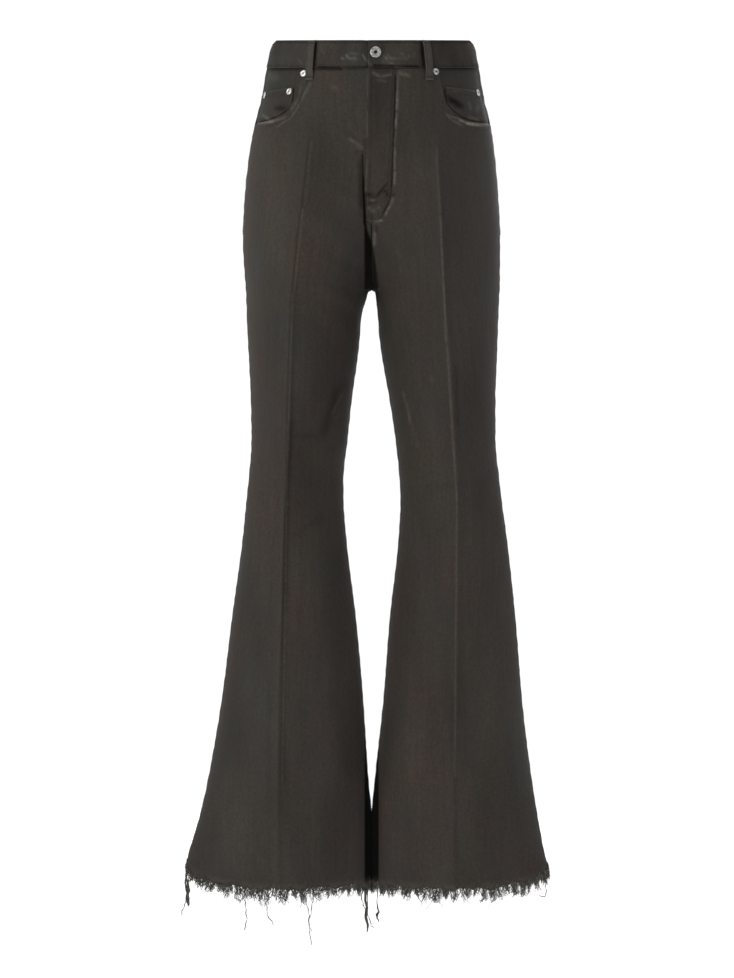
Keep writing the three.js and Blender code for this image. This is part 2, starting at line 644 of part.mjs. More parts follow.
// Belt loop: sewn flat below the seam, bridging the waistband, turned in at its top edge
function loopGrid(loop, out) {
  const { width, stand, above, below, foot } = LOOP;
  const y = placeAtX(loop.face, loop.xTop, -5, 0).y;
  const low = bandLow(y);
  const high = bandHigh(y);
  const bridge = BAND_PROUD + stand;
  const stations = [
    { z: low - below, d: LAYER_GAP },
    { z: low - below + foot, d: LAYER_GAP },
    { z: low - 2, d: bridge },
    { z: (low + high) / 2, d: bridge + 0.4 },
    { z: high - 6, d: bridge },
    { z: high - 2.5, d: BAND_PROUD + LAYER_GAP },
    { z: high + above, d: BAND_PROUD + LAYER_GAP },
  ];
  return stations.map((station) => {
    const s = (high - station.z) / (high - low + below);
    const x = lerp(loop.xTop, loop.xLow, clamp(s, 0, 1));
    return [-1, 0, 1].map((side) => {
      const at = placeAtX(loop.face, x || 0.2, Math.min(station.z, WIDTHS[0].z), 0);
      const leg = x < 0 ? -1 : 1;
      const n = outward(leg, loop.face, tAt(leg, loop.face, x, station.z), station.z);
      const nx = x ? n.x * leg : 0;
      const ny = x ? n.y : loop.face;
      const across = side * width / 2;
      const reach = station.d + out;
      return new THREE.Vector3(
        (x ? at.x : 0) + nx * reach - ny * across,
        at.y + ny * reach + nx * across,
        station.z,
      );
    });
  });
}

for (const loop of LOOPS) {
  add(loop.name, wall(loopGrid(loop, LOOP.thick), loopGrid(loop, 0)), COLOURS.loop);
}

// A turned metal piece, its axis along the cloth's outward normal
function turned(profile, sides, at, normal) {
  const geometry = new THREE.LatheGeometry(profile.map(([r, h]) => new THREE.Vector2(r, h)), sides);
  const turn = new THREE.Quaternion().setFromUnitVectors(new THREE.Vector3(0, 1, 0), normal);
  geometry.applyQuaternion(turn);
  geometry.translate(at.x, at.y, at.z);
  return geometry;
}

// Outward normal of the front at (x, z), its slope up and down included
function normalAtX(x, z) {
  const leg = x < 0 ? -1 : 1;
  const step = 4;
  const n = outward(leg, -1, tAt(leg, -1, x, z), z);
  const level = new THREE.Vector3(leg * n.x, n.y, 0);
  const t = tAt(leg, -1, x, z);
  const rise = place(leg, -1, t, z + step, 0).sub(place(leg, -1, t, z - step, 0));
  const slope = rise.dot(level) / rise.z;
  return level.setZ(-slope).normalize();
}

const buttonProfile = [
  [0, 0],
  [BUTTON.radius * 0.75, 0],
  [BUTTON.radius * 0.97, BUTTON.height * 0.4],
  [BUTTON.radius, BUTTON.height * 0.6],
  [BUTTON.radius * 0.86, BUTTON.height * 0.92],
  [BUTTON.radius * 0.62, BUTTON.height],
  [BUTTON.hole * 1.2, BUTTON.height * 0.82],
  [BUTTON.hole, BUTTON.height * 0.35],
  [0, BUTTON.height * 0.35],
];
const buttonSeat = placeAtX(-1, BUTTON.x, BUTTON.z, BAND_PROUD + LAYER_GAP);
add(
  'waist_button',
  turned(buttonProfile, BUTTON.sides, buttonSeat, normalAtX(BUTTON.x, BUTTON.z)),
  COLOURS.metal,
  1,
  0.32,
);

const rivetProfile = [
  [0, 0],
  [RIVET.radius, 0],
  [RIVET.radius * 0.93, RIVET.height * 0.7],
  [RIVET.radius * 0.66, RIVET.height],
  [RIVET.radius * 0.36, RIVET.height * 0.62],
  [0, RIVET.height * 0.95],
];
for (const rivet of RIVETS) {
  const base = rivet.on === 'coin' ? LAYER_GAP - FACING.inset + COIN.thick : 0;
  const at = placeAtX(-1, rivet.x, rivet.z, base + RIVET.seat);
  add(
    rivet.name,
    turned(rivetProfile, RIVET.sides, at, normalAtX(rivet.x, rivet.z)),
    COLOURS.metal,
    1,
    0.32,
  );
}

// Points round the hem at near equal distances, with every column of the panels among them
function hemRing(leg) {
  const ring = [];
  for (const face of [-1, 1]) {
    const list = face < 0 ? FRONT_COLUMNS : [...BACK_COLUMNS].reverse();
    for (let j = 0; j < list.length - 1; j += 1) {
      const a = flat(leg, face, list[j], HEM_Z);
      const b = flat(leg, face, list[j + 1], HEM_Z);
      const count = Math.max(1, Math.round(a.distanceTo(b) / HEM.pitch));
      for (let i = 0; i < count; i += 1) {
        const t = lerp(list[j], list[j + 1], i / count);
        ring.push({ face, t, z: hemZ(leg, face, t) });
      }
    }
  }
  return ring;
}

// Even but unlike numbers between 0 and 1, the same each time
const scatter = (k, seed) => {
  const wave = Math.sin(k * 12.9898 + seed * 78.233) * 43758.5453;
  return wave - Math.floor(wave);
};

function frayedHem(leg) {
  const ring = hemRing(leg);
  const count = ring.length;
  const levels = [HEM.gap, HEM.gap + HEM.strip];
  const positions = [];
  for (const drop of levels) {
    for (const out of [0, -CLOTH]) {
      for (const p of ring) {
        const at = place(leg, p.face, p.t, p.z, out);
        positions.push(at.setZ(p.z - drop));
      }
    }
  }
  const at = (level, inner, k) => (level * 2 + inner) * count + (k % count);
  const indices = [];
  const quad = (a, b, c, d) => indices.push(a, b, c, a, c, d);
  for (let k = 0; k < count; k += 1) {
    quad(at(0, 0, k), at(0, 0, k + 1), at(1, 0, k + 1), at(1, 0, k));
    quad(at(0, 1, k + 1), at(0, 1, k), at(1, 1, k), at(1, 1, k + 1));
    quad(at(0, 0, k + 1), at(0, 0, k), at(0, 1, k), at(0, 1, k + 1));
    const root = [at(1, 0, k), at(1, 0, k + 1), at(1, 1, k + 1), at(1, 1, k)];
    const corners = root.map((i) => positions[i]);
    const centre = corners.reduce((sum, v) => sum.add(v), new THREE.Vector3()).divideScalar(4);
    const along = corners[1].clone().sub(corners[0]).setZ(0).normalize();
    const thread = THREADS.find((row) => row.leg === leg && ring[k].face < 0
      && (corners[0].x * leg - row.x) * (corners[1].x * leg - row.x) <= 0);
    const length = thread ? thread.length : lerp(HEM.shortest, HEM.longest, scatter(k, leg + 2) ** 1.3);
    const rings = thread ? THREAD_STEPS : 1;
    let above = root;
    for (let i = 1; i <= rings; i += 1) {
      const s = thread ? i / (rings + 1) : 0.45;
      const drift = thread
        ? thread.drift * s * leg + Math.sin(s * 7 + k) * 0.7
        : (scatter(k, 5) - 0.5) * HEM.tip;
      const shrink = thread ? THREAD_WIDTH / 5 : HEM.waist;
      const next = corners.map((corner) => {
        const across = corner.clone().sub(centre).setZ(0);
        const wide = along.clone().multiplyScalar(across.dot(along) * shrink);
        const deep = across.clone().sub(along.clone().multiplyScalar(across.dot(along)));
        const p = centre.clone().add(wide).addScaledVector(deep, 0.55).addScaledVector(along, drift);
        positions.push(p.setZ(centre.z - length * s));
        return positions.length - 1;
      });
      for (let c = 0; c < 4; c += 1) {
        quad(above[c], above[(c + 1) % 4], next[(c + 1) % 4], next[c]);
      }
      above = next;
    }
    const sway = thread ? thread.drift * leg : (scatter(k, 9) - 0.5) * 2 * HEM.tip;
    const tip = centre.clone().addScaledVector(along, sway).setZ(centre.z - length);
    positions.push(tip);
    for (let c = 0; c < 4; c += 1) {
      indices.push(above[c], above[(c + 1) % 4], positions.length - 1);
    }
  }
  return solid(positions, indices);
}

for (const leg of [1, -1]) {
  add(`frayed_hem_${sideName(leg)}`, frayedHem(leg), COLOURS.thread);
}

export default group;
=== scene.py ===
# %% [markdown]
# # Flared jeans in waxed denim
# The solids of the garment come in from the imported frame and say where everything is. This
# lesson dresses them as cloth. Each panel, pocket, band and loop becomes a fine sheet on the
# form of its solid. The pressed creases, drag lines and puckers are set in short tables,
# and then come the stitches, the torn hems, the metal and the light.

# %% Load the frame
import math

import bmesh
import bpy
import numpy as np
from mathutils import Matrix, Vector


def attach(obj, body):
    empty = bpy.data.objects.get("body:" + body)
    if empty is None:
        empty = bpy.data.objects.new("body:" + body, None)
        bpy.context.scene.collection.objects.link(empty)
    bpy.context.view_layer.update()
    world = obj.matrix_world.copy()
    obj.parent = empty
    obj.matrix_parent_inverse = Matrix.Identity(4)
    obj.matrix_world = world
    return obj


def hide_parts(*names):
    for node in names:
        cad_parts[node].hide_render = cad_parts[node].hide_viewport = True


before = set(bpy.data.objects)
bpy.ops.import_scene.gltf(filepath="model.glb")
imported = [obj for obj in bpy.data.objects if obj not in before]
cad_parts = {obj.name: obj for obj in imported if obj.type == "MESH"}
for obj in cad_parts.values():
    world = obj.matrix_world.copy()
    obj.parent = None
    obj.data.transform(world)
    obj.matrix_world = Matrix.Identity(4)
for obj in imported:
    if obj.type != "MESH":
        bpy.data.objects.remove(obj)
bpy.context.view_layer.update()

# %% [markdown]
# ## The cut of the legs
# Cloth takes its shape from its cut, so the shape is kept as the sizes of the cut, in
# millimetres: side outline, inner edge and pressed crease of each leg at some heights, and
# the depth of the cloth in front and behind. They are the sizes that the solids have. A
# simulation could find the fall of the cloth, but these legs stand as pressed and worn, and a
# section that follows the table keeps every layer on the one below.

# %% Sizes of the garment
MM = 0.001
# leg is 1 for the wearer's left and -1 for the right, face is -1 for the front and 1 for the back
SIDE, COLUMN_END, WAY = {1: "left", -1: "right"}, {1: "_l", -1: "_r"}, {-1: "front", 1: "back"}
EYE_BACK, EYE_Z = 4500, -602
LAYER_GAP = 0.5
CLOTH_THICK = 1.3
PATCH_THICK = 1.2
FACING_THICK = 1.0
FACING_DEPTH = 2.4
BAND_HEIGHT = 38
BAND_THICK = 2.4
BAND_PROUD = 0.7
BAND_GAP = 0.3
WAIST_LEAN = 0.13
SIDE_DIP = 4.5
LAP_END_X = -5
UNDERLAP_X = 26
LAP_BLEND = 14
CROTCH_Z = -327
YOKE_CENTRE_Z, YOKE_SIDE_Z = -76.0, -56.0
TABLE_TOP = 25
HEM_Z = -1150.5
HEM_SIDE_RISE = {1: 28.5, -1: 34.5}
HEM_INNER_RISE = 5
HEM_BLEND_START = -960
CREASE_SHARPNESS = 0.26
CREASE_WAIST_ANGLE = math.radians(52)

WIDTHS = (
    ("z", "side_l", "side_r", "inner_l", "inner_r", "crease_l", "crease_r"),
    (TABLE_TOP, 140, 136.5, 0.15, 0.15, 82, 78), (5, 143.5, 140, 0.15, 0.15, 83, 79),
    (-22, 148.5, 145.5, 0.15, 0.15, 84, 80), (-64, 155.5, 152.5, 0.15, 0.15, 86, 82),
    (-91, 162.5, 160, 0.15, 0.15, 87, 84), (-147, 170.5, 170, 0.15, 0.15, 88, 88),
    (-202, 175, 175.5, 0.15, 0.15, 91, 94), (-257, 177.5, 178, 0.15, 0.15, 94, 102),
    (-327, 177, 174, 0.15, 0.15, 98, 109), (-333, 176.5, 173.6, 1, 1.6, 99, 110),
    (-368, 175, 172.5, 7.5, 13.4, 101, 112), (-424, 173, 169.5, 15.6, 20.4, 107, 114),
    (-479, 171, 167, 25.3, 28.2, 111, 116), (-534, 171, 166, 33.5, 34, 114, 117),
    (-590, 176.3, 170, 39.2, 39.7, 117, 118), (-618, 179.5, 173, 40.4, 39.5, 117, 119),
    (-673, 187, 178.5, 37.5, 35.4, 117, 121), (-784, 199, 193.5, 25.3, 22, 116, 124),
    (-895, 208, 207.5, 16.6, 12.2, 115, 127), (-1005, 221.5, 226.5, 4.8, 5, 112, 128),
    (-1061, 230.5, 239.5, 0.12, 0.12, 112, 128), (-1112, 240.5, 254.5, 0.12, 0.12, 112, 128),
    (-1160, 256, 263, 0.12, 0.12, 112, 128),
)
DEPTHS = (
    ("z", "front", "back", "side"),
    (TABLE_TOP, -107, 112, 0), (-22, -110, 116, 0), (-64, -114, 124, 0), (-147, -118, 136, 2),
    (-202, -117, 138, 2), (-257, -113, 131, 2), (-327, -105, 114, 2), (-368, -99, 104, 1),
    (-424, -92, 92, 0), (-534, -77, 70, -2), (-590, -71, 61, -3), (-673, -69, 59, -3),
    (-784, -69, 63, -2), (-895, -69, 66, -1), (-1005, -67, 65, 0), (-1160, -60, 59, 0),
)
REACH = (
    ("z", "front", "back"),
    (TABLE_TOP, 420, 420), (-64, 380, 380), (-147, 300, 300), (-202, 190, 240), (-243, 95, 165),
    (-270, 48, 92), (-300, 15, 32), (-318, 3.5, 8), (-327, -0.15, -0.15),
)
SCOOP = (
    ("x", "left", "right"),
    (92.5, -30, -30), (94.2, -49, -38), (96.5, -61, -46), (100.5, -77, -58), (107, -86.5, -76),
    (117, -94.5, -90), (130, -100.5, -96.5), (146, -102.5, -100), (164, -99, -100),
)
FACING_EDGE = (
    ("x", "z"),
    (84, -62), (91, -76), (98, -89), (106, -98), (116, -106), (129, -111), (146, -113), (164, -110),
)
FLY_EDGE = (("z", "x"), (-25, -3.7), (-125, -7), (-208, -11), (-243, -9))
print("rows of the cut", len(WIDTHS) - 1)


# %% [markdown]
# ## Reading the tables
# A height between two rows gets a smooth value that never swings past its neighbours, so a
# seam runs fair from waist to hem. Working on whole arrays at once keeps it quick.

# %% Smooth columns and ramps
def column(table, name, at):
    """The named column of a table at the given values of its first column."""
    names, *rows = table
    rows = sorted(rows)
    xs = np.array([row[0] for row in rows], float)
    ys = np.array([row[names.index(name)] for row in rows], float)
    slope = np.diff(ys) / np.diff(xs)
    tangent = np.zeros(len(xs))
    tangent[0], tangent[-1] = slope[0], slope[-1]
    a, b = slope[:-1], slope[1:]
    same = a * b > 0
    tangent[1:-1][same] = 2 * a[same] * b[same] / (a[same] + b[same])
    at = np.clip(np.asarray(at, float), xs[0], xs[-1])
    i = np.clip(np.searchsorted(xs, at) - 1, 0, len(xs) - 2)
    width = xs[i + 1] - xs[i]
    s = (at - xs[i]) / width
    low, high = ys[i], ys[i + 1]
    bend = width * s * (1 - s) * ((1 - s) * tangent[i] - s * tangent[i + 1])
    return low + (high - low) * s * s * (3 - 2 * s) + bend


def ramp(value, start, stop):
    s = np.clip((np.asarray(value, float) - start) / (stop - start), 0, 1)
    return s * s * (3 - 2 * s)


def fade(value, start, stop):
    return 1 - ramp(value, start, stop)


def mix(a, b, s):
    return a + (b - a) * s


def bell(value, middle, width):
    """1 at the middle, fading out over the width on both sides."""
    return np.exp(-(((value - middle) / width) ** 2))


def paired(*values):
    """The values as arrays of numbers, all of one shape."""
    return np.broadcast_arrays(*(np.asarray(value, float) for value in values))


def unit(vectors):
    return vectors / np.maximum(np.linalg.norm(vectors, axis=-1, keepdims=True), 1e-9)


def on_stroke(x, z, x0, z0, x1, z1):
    """Of points beside a stroke: how far along it (0 to 1), how far off it, and its length."""
    dx, dz = x1 - x0, z1 - z0
    size = dx * dx + dz * dz
    forward = ((x - x0) * dx + (z - z0) * dz) / size
    length = math.sqrt(size)
    return forward, ((x - x0) * dz - (z - z0) * dx) / length, length


print("knee, left leg", column(WIDTHS, "side_l", -534))


# %% Meshes, objects and finishes
def mesh_of(bm, name):
    mesh = bpy.data.meshes.new(name)
    bm.to_mesh(mesh)
    bm.free()
    return mesh


def smooth(mesh, *materials):
    mesh.polygons.foreach_set("use_smooth", np.ones(len(mesh.polygons), bool))
    for material in materials:
        mesh.materials.append(material)


def placed(name, data):
    """A new object in the scene."""
    made = bpy.data.objects.new(name, data)
    bpy.context.scene.collection.objects.link(made)
    return made


def new_finish(name):
    """A material with its tree, its shader and the place of a point on the object."""
    material = bpy.data.materials.new(name)
    material.use_nodes = True
    tree = material.node_tree
    place = tree.nodes.new("ShaderNodeTexCoord").outputs["Object"]
    return material, tree, tree.nodes["Principled BSDF"], place


def feed(socket, value):
    """Gives a socket a link from another socket, or a constant."""
    if isinstance(value, bpy.types.NodeSocket):
        socket.id_data.links.new(value, socket)
    else:
        socket.default_value = value


def settle(node, values):
    for name, value in values.items():
        feed(node.inputs[name], value)


# %% [markdown]
# ## Folds
# Real trousers are never quite smooth: the knee, the crotch and the place behind the knee
# each keep their own soft ridges and troughs. Every fold is one row, with its leg (1 is the
# wearer's left), its face (-1 is the front), two ends, a width and a height in millimetres.
# The first table holds the large folds, which the solids have too, and the second the small
# ones. Sculpting by hand would do as well, but a table can be set against the photograph line
# by line.

# %% Folds of the solids
FOLDS = (
    (-1, -1, 30, -446, 70, -528, 13, 3.2), (-1, -1, 56, -440, 84, -500, 12, -2.4),
    (-1, -1, 42, -560, 104, -532, 10, 1.8), (1, -1, 48, -505, 98, -560, 12, 2.2),
    (1, -1, 122, -600, 168, -634, 13, -2.2), (1, -1, 24, -268, 84, -236, 13, 2.2),
    (-1, -1, 26, -262, 88, -232, 13, 2.4), (1, 1, 20, -318, 128, -292, 13, 3.4),
    (-1, 1, 22, -316, 134, -296, 14, 3.2), (1, 1, 40, -362, 132, -330, 12, -2.6),
    (-1, 1, 44, -366, 126, -334, 12, -2.4), (1, 1, 58, -588, 142, -566, 12, 3),
    (-1, 1, 56, -584, 138, -570, 12, 2.8), (1, 1, 60, -628, 138, -606, 11, -2.2),
    (-1, 1, 62, -624, 136, -610, 11, -2.2),
)


def folds(table, leg, face, x, z):
    total = np.zeros(np.shape(x))
    for row_leg, row_face, x0, z0, x1, z1, width, height in table:
        if row_leg != leg or row_face != face:
            continue
        forward, across, _ = on_stroke(x, z, x0, z0, x1, z1)
        taper = ramp(forward, -0.25, 0.3) * fade(forward, 0.7, 1.25)
        total = total + height * taper * bell(across, 0, width)
    return total


# %% Small folds of the cloth
SMALL_FOLDS = (
    # Drag lines that point at the fly, and the deep trough beside its edge
    (-1, -1, 12, -131, 33, -116, 4.5, 1.7), (-1, -1, 13, -126, 30, -104, 4, -1.1),
    (-1, -1, 13.5, -140, 11, -232, 3.6, -2.4), (-1, -1, 19, -150, 20, -226, 4.5, 1.3),
    (-1, -1, 14, -210, 52, -186, 8, 1.3), (1, -1, 36, -205, 62, -176, 8, 1.2),
    (1, -1, 34, -120, 52, -102, 5, 0.9), (1, -1, 9, -222, 24, -214, 3.2, 0.9),
    # Crotch
    (1, -1, 4, -262, 10, -318, 4, 1.5), (-1, -1, 4, -258, 12, -316, 4.5, -1.4),
    (1, -1, 14, -300, 60, -276, 8, -1.5), (-1, -1, 14, -296, 66, -272, 8, -1.5),
    (1, -1, 18, -352, 70, -318, 9, 1.3), (-1, -1, 20, -350, 74, -322, 9, 1.4),
    # Thighs and knees
    (-1, -1, 24, -392, 66, -350, 10, 1.2), (1, -1, 30, -430, 78, -392, 11, 1.1),
    (-1, -1, 44, -505, 92, -528, 8, -1.4), (-1, -1, 48, -535, 118, -546, 9, -1.3),
    (-1, -1, 132, -470, 158, -520, 10, 1.3), (1, -1, 128, -520, 160, -568, 11, 1.2),
    (1, -1, 46, -588, 96, -610, 11, 1.2), (-1, -1, 50, -620, 100, -596, 11, 1.1),
    (1, -1, 140, -660, 178, -690, 12, 1.2), (-1, -1, 136, -640, 172, -676, 12, -1.1),
    # Long soft runs down the flare
    (1, -1, 60, -760, 48, -1090, 17, 1.8), (-1, -1, 62, -770, 46, -1100, 16, 1.9),
    (1, -1, 165, -820, 205, -1110, 18, 2.0), (-1, -1, 168, -800, 198, -1100, 18, -1.6),
    (1, -1, 88, -860, 84, -1130, 13, -1.4), (-1, -1, 92, -880, 84, -1120, 13, -1.5),
    # Seat, behind the knees and down the back of the flare
    (1, 1, 18, -270, 96, -250, 10, 1.6), (-1, 1, 16, -266, 100, -252, 10, 1.5),
    (1, 1, 60, -398, 140, -372, 11, 1.6), (-1, 1, 56, -402, 134, -380, 11, 1.5),
    (1, 1, 70, -540, 150, -520, 10, 1.5), (-1, 1, 66, -536, 150, -524, 10, 1.6),
    (1, 1, 66, -668, 130, -650, 10, 1.3), (-1, 1, 70, -664, 128, -652, 10, 1.3),
    (1, 1, 70, -780, 52, -1090, 17, 1.8), (-1, 1, 150, -800, 190, -1090, 18, 1.7),
    (-1, 1, 64, -820, 58, -1100, 16, -1.5), (1, 1, 150, -850, 188, -1090, 18, -1.5),
)
print("folds", len(FOLDS) + len(SMALL_FOLDS))


# %% [markdown]
# ## The section of a leg
# At each height a leg is a ring of two halves, front and back. On each half t runs from the
# side seam (0) over the pressed crease (0.5) to the inner seam or the centre seam (1). High up
# the two legs join into the oval of the waist, lower down each leg is a ring of its own with a
# slightly peaked crease.

# %% Section and its outward direction
def section(leg, face, t, z):
    """x, from the middle of the garment outwards, and y of the outer face of the cloth."""
    t, z = paired(t, z)
    end, way = COLUMN_END[leg], WAY[face]
    side = column(WIDTHS, "side" + end, z)
    crease = column(WIDTHS, "crease" + end, z)
    depth = column(DEPTHS, way, z)
    seam_y = column(DEPTHS, "side", z)
    above = z > CROTCH_Z
    inner = np.where(above, -column(REACH, way, z), column(WIDTHS, "inner" + end, z))
    sharp = CREASE_SHARPNESS * ramp(z, -60, -170)
    outer = t <= 0.5  # between the side seam and the crease
    part = np.where(outer, t / 0.5, (1 - t) / 0.5)
    stop = np.where(above, np.arccos(np.clip(crease / (crease - inner), 0, 1)), 0)
    angle = np.where(outer, part * math.pi / 2, mix(stop, math.pi / 2, part))
    gusset = np.where(above, 0, 4.4 * np.minimum((CROTCH_Z - z) / 2.2, 1 - ramp(z, -333, -400)))
    leg_x = np.where(
        outer,
        crease + (side - crease) * np.cos(angle),
        crease - (crease - inner) * np.cos(angle) + gusset * np.abs(np.cos(angle)) ** 10,
    )
    full = (1 - sharp) * np.sin(angle) + sharp * (1 - np.cos(angle))
    leg_y = seam_y + (depth - seam_y) * full
    turn = np.where(outer, part * CREASE_WAIST_ANGLE, mix(math.pi / 2, CREASE_WAIST_ANGLE, part))
    blend = ramp(z, -30, -175)
    x = mix(side * np.cos(turn), leg_x, blend)
    y = mix(depth * np.sin(turn), leg_y, blend)
    return x, y + face * folds(FOLDS, leg, face, x, z) * full


def outward(leg, face, t, z):
    """The way out of the cloth, level with the floor."""
    t, z = paired(t, z)
    ax, ay = section(leg, face, np.maximum(t - 0.015, 0), z)
    bx, by = section(leg, face, np.minimum(t + 0.015, 1), z)
    nx, ny = face * (by - ay), -face * (bx - ax)
    size = np.maximum(np.hypot(nx, ny), 1e-9)
    nx, ny = nx / size, ny / size
    turn = fade(t, 0, 0.02)
    nx, ny = mix(nx, 1, turn), mix(ny, 0, turn)
    turn = ramp(t, 0.975, 1)
    above = z > CROTCH_Z
    nx, ny = mix(nx, np.where(above, 0, -1), turn), mix(ny, np.where(above, face, 0), turn)
    size = np.hypot(nx, ny)
    return nx / size, ny / size


# %% [markdown]
# ## What a hand feels on the cloth
# On top of the section comes a low relief: the pressed ridge of the crease, the turned seam
# allowances beside each seam, the roping that shrinkage puts along a sewn edge, and the slow
# waves of hanging denim. All of it fades out at the seams, so the panels still meet.

# %% Relief of the cloth
def waves(x, z, seed):
    total = np.sin(x / 31 + z / 67 + seed) + 0.8 * np.sin(x / 19 - z / 43 + seed * 2.3)
    total = total + 0.6 * np.sin(z / 29 + x / 47 + seed * 1.7)
    return total + 0.5 * np.sin(x / 11 + z / 37 + seed * 3.1)


def seen(x, y, z):
    """Where a point shows in the plane of the side seams, seen from the camera's place."""
    near = EYE_BACK / (EYE_BACK + y)
    return x * near, EYE_Z + (z - EYE_Z) * near


def seen_points(points):
    return seen(points[..., 0], points[..., 1], points[..., 2])


def relief(leg, face, t, z, x, y):
    end, way = COLUMN_END[leg], WAY[face]
    depth = np.abs(column(DEPTHS, way, z))
    seed = 2.0 + leg * 0.9 + face * 1.7
    window = np.sin(np.clip(t, 0, 1) * math.pi) ** 0.6
    total = 1.3 * folds(SMALL_FOLDS, leg, face, *seen(x, y, z)) * window
    total = total + 0.34 * waves(x, z, seed) * window * ramp(z, -70, -180)
    crease = column(WIDTHS, "crease" + end, z)
    off = np.abs(x - crease)
    pressed = ramp(z, -105, -190) * mix(1, 0.75, ramp(z, -900, -1120))
    ridge = 1.8 * bell(off, 0, 2.8) - 0.8 * bell(off, 9, 6)
    total = total + pressed * ridge
    from_side = np.clip(t, 0, 1) * math.pi * depth
    from_inner = (1 - np.clip(t, 0, 1)) * math.pi * depth
    rope = 0.22 * np.sin(z / 3.1 + 1.4 * np.sin(z / 17)) + 0.16 * np.sin(z / 5.3 + seed)
    for distance, lap in ((from_side, 0.55 if face > 0 else 0.2), (from_inner, 0.35)):
        total = total - 0.8 * bell(distance, 0, 1.3)
        total = total + lap * fade(distance, 9.5, 12.5) * ramp(distance, 0.6, 2.2)
        total = total + rope * fade(distance, 9, 14) * ramp(distance, 0.5, 2.5)
    return total


def cloth(leg, face, t, z, out=0.0, plain=False):
    x, y = section(leg, face, t, z)
    nx, ny = outward(leg, face, t, z)
    lift = out + (0 if plain else relief(leg, face, t, z, x, y))
    x = x + nx * lift
    x = np.where(z > CROTCH_Z, np.maximum(x, 0), x)
    return np.stack(np.broadcast_arrays(leg * x, y + ny * lift, z), axis=-1)


# %% [markdown]
# ## Edges of the pattern pieces
# The top of a panel follows the slanted waist, the mouth of the pocket or the seam of the
# yoke. These are found by trying, because each edge lies on the same section that it cuts.

# %% Edges
def t_at(leg, face, x, z):
    x, z = paired(x, z)
    low, high = np.zeros(x.shape), np.ones(x.shape)
    for _ in range(26):
        middle = (low + high) / 2
        outside = section(leg, face, middle, z)[0] > np.abs(x)
        low, high = np.where(outside, middle, low), np.where(outside, high, middle)
    return (low + high) / 2


def waist_z(leg, face, t):
    z = np.full(np.shape(t), -BAND_HEIGHT / 2.0)
    for _ in range(6):
        z = -BAND_HEIGHT / 2 + WAIST_LEAN * section(leg, face, t, z)[1]
    return z - BAND_GAP


def scoop_z(leg, t):
    z = np.full(np.shape(t), -99.0)
    for _ in range(60):
        z = mix(z, column(SCOOP, SIDE[leg], section(leg, -1, t, z)[0]), 0.3)
    return z


def yoke_z(leg, t):
    wide = section(leg, 1, np.zeros(1), YOKE_CENTRE_Z)[0]
    out = section(leg, 1, t, np.full(np.shape(t), YOKE_CENTRE_Z))[0] / wide
    return mix(YOKE_CENTRE_Z, YOKE_SIDE_Z, out)


def hem_drop(leg, t):
    t = np.asarray(t, float)
    return np.where(t < 0.5, HEM_SIDE_RISE[leg], HEM_INNER_RISE) * (1 - t / 0.5) ** 2


def drooped(leg, z, t):
    share = np.clip((HEM_BLEND_START - z) / (HEM_BLEND_START - HEM_Z), 0, 1)
    return z + hem_drop(leg, t) * share


def torn(leg, face, t):
    """The ragged line of the torn edge, in millimetres up and down."""
    ragged = 1.5 * np.sin(t * 43 + leg) + 1.3 * np.sin(t * 97 + face) + 1.1 * np.sin(t * 211)
    return ragged + 0.7 * np.sin(t * 367 + leg) + 0.5 * np.sin(t * 613)


def cloth_at(face, x, z, out=0.0, plain=False):
    """Points of the cloth at signed x, whichever leg they fall on."""
    x, z, out = paired(x, z, out)
    points = np.zeros(x.shape + (3,))
    for leg in (1, -1):
        pick = (x >= 0) if leg > 0 else (x < 0)
        if pick.any():
            t = t_at(leg, face, x[pick], z[pick])
            points[pick] = cloth(leg, face, t, z[pick], out[pick], plain)
    return points


print("scoop at the side seam", scoop_z(1, np.array([0.0])))

# %% [markdown]
# ## Wear
# Wax and dye rub off where the cloth is thick or folded: along the stitched edge of the fly,
# the lips of the pockets, the creases, the puckers of the waistband. A texture could be
# painted, but here each rubbed place is one row, x and z of its two ends, its width and its
# strength, laid on the points of the mesh as a soft value. The material then breaks it up.

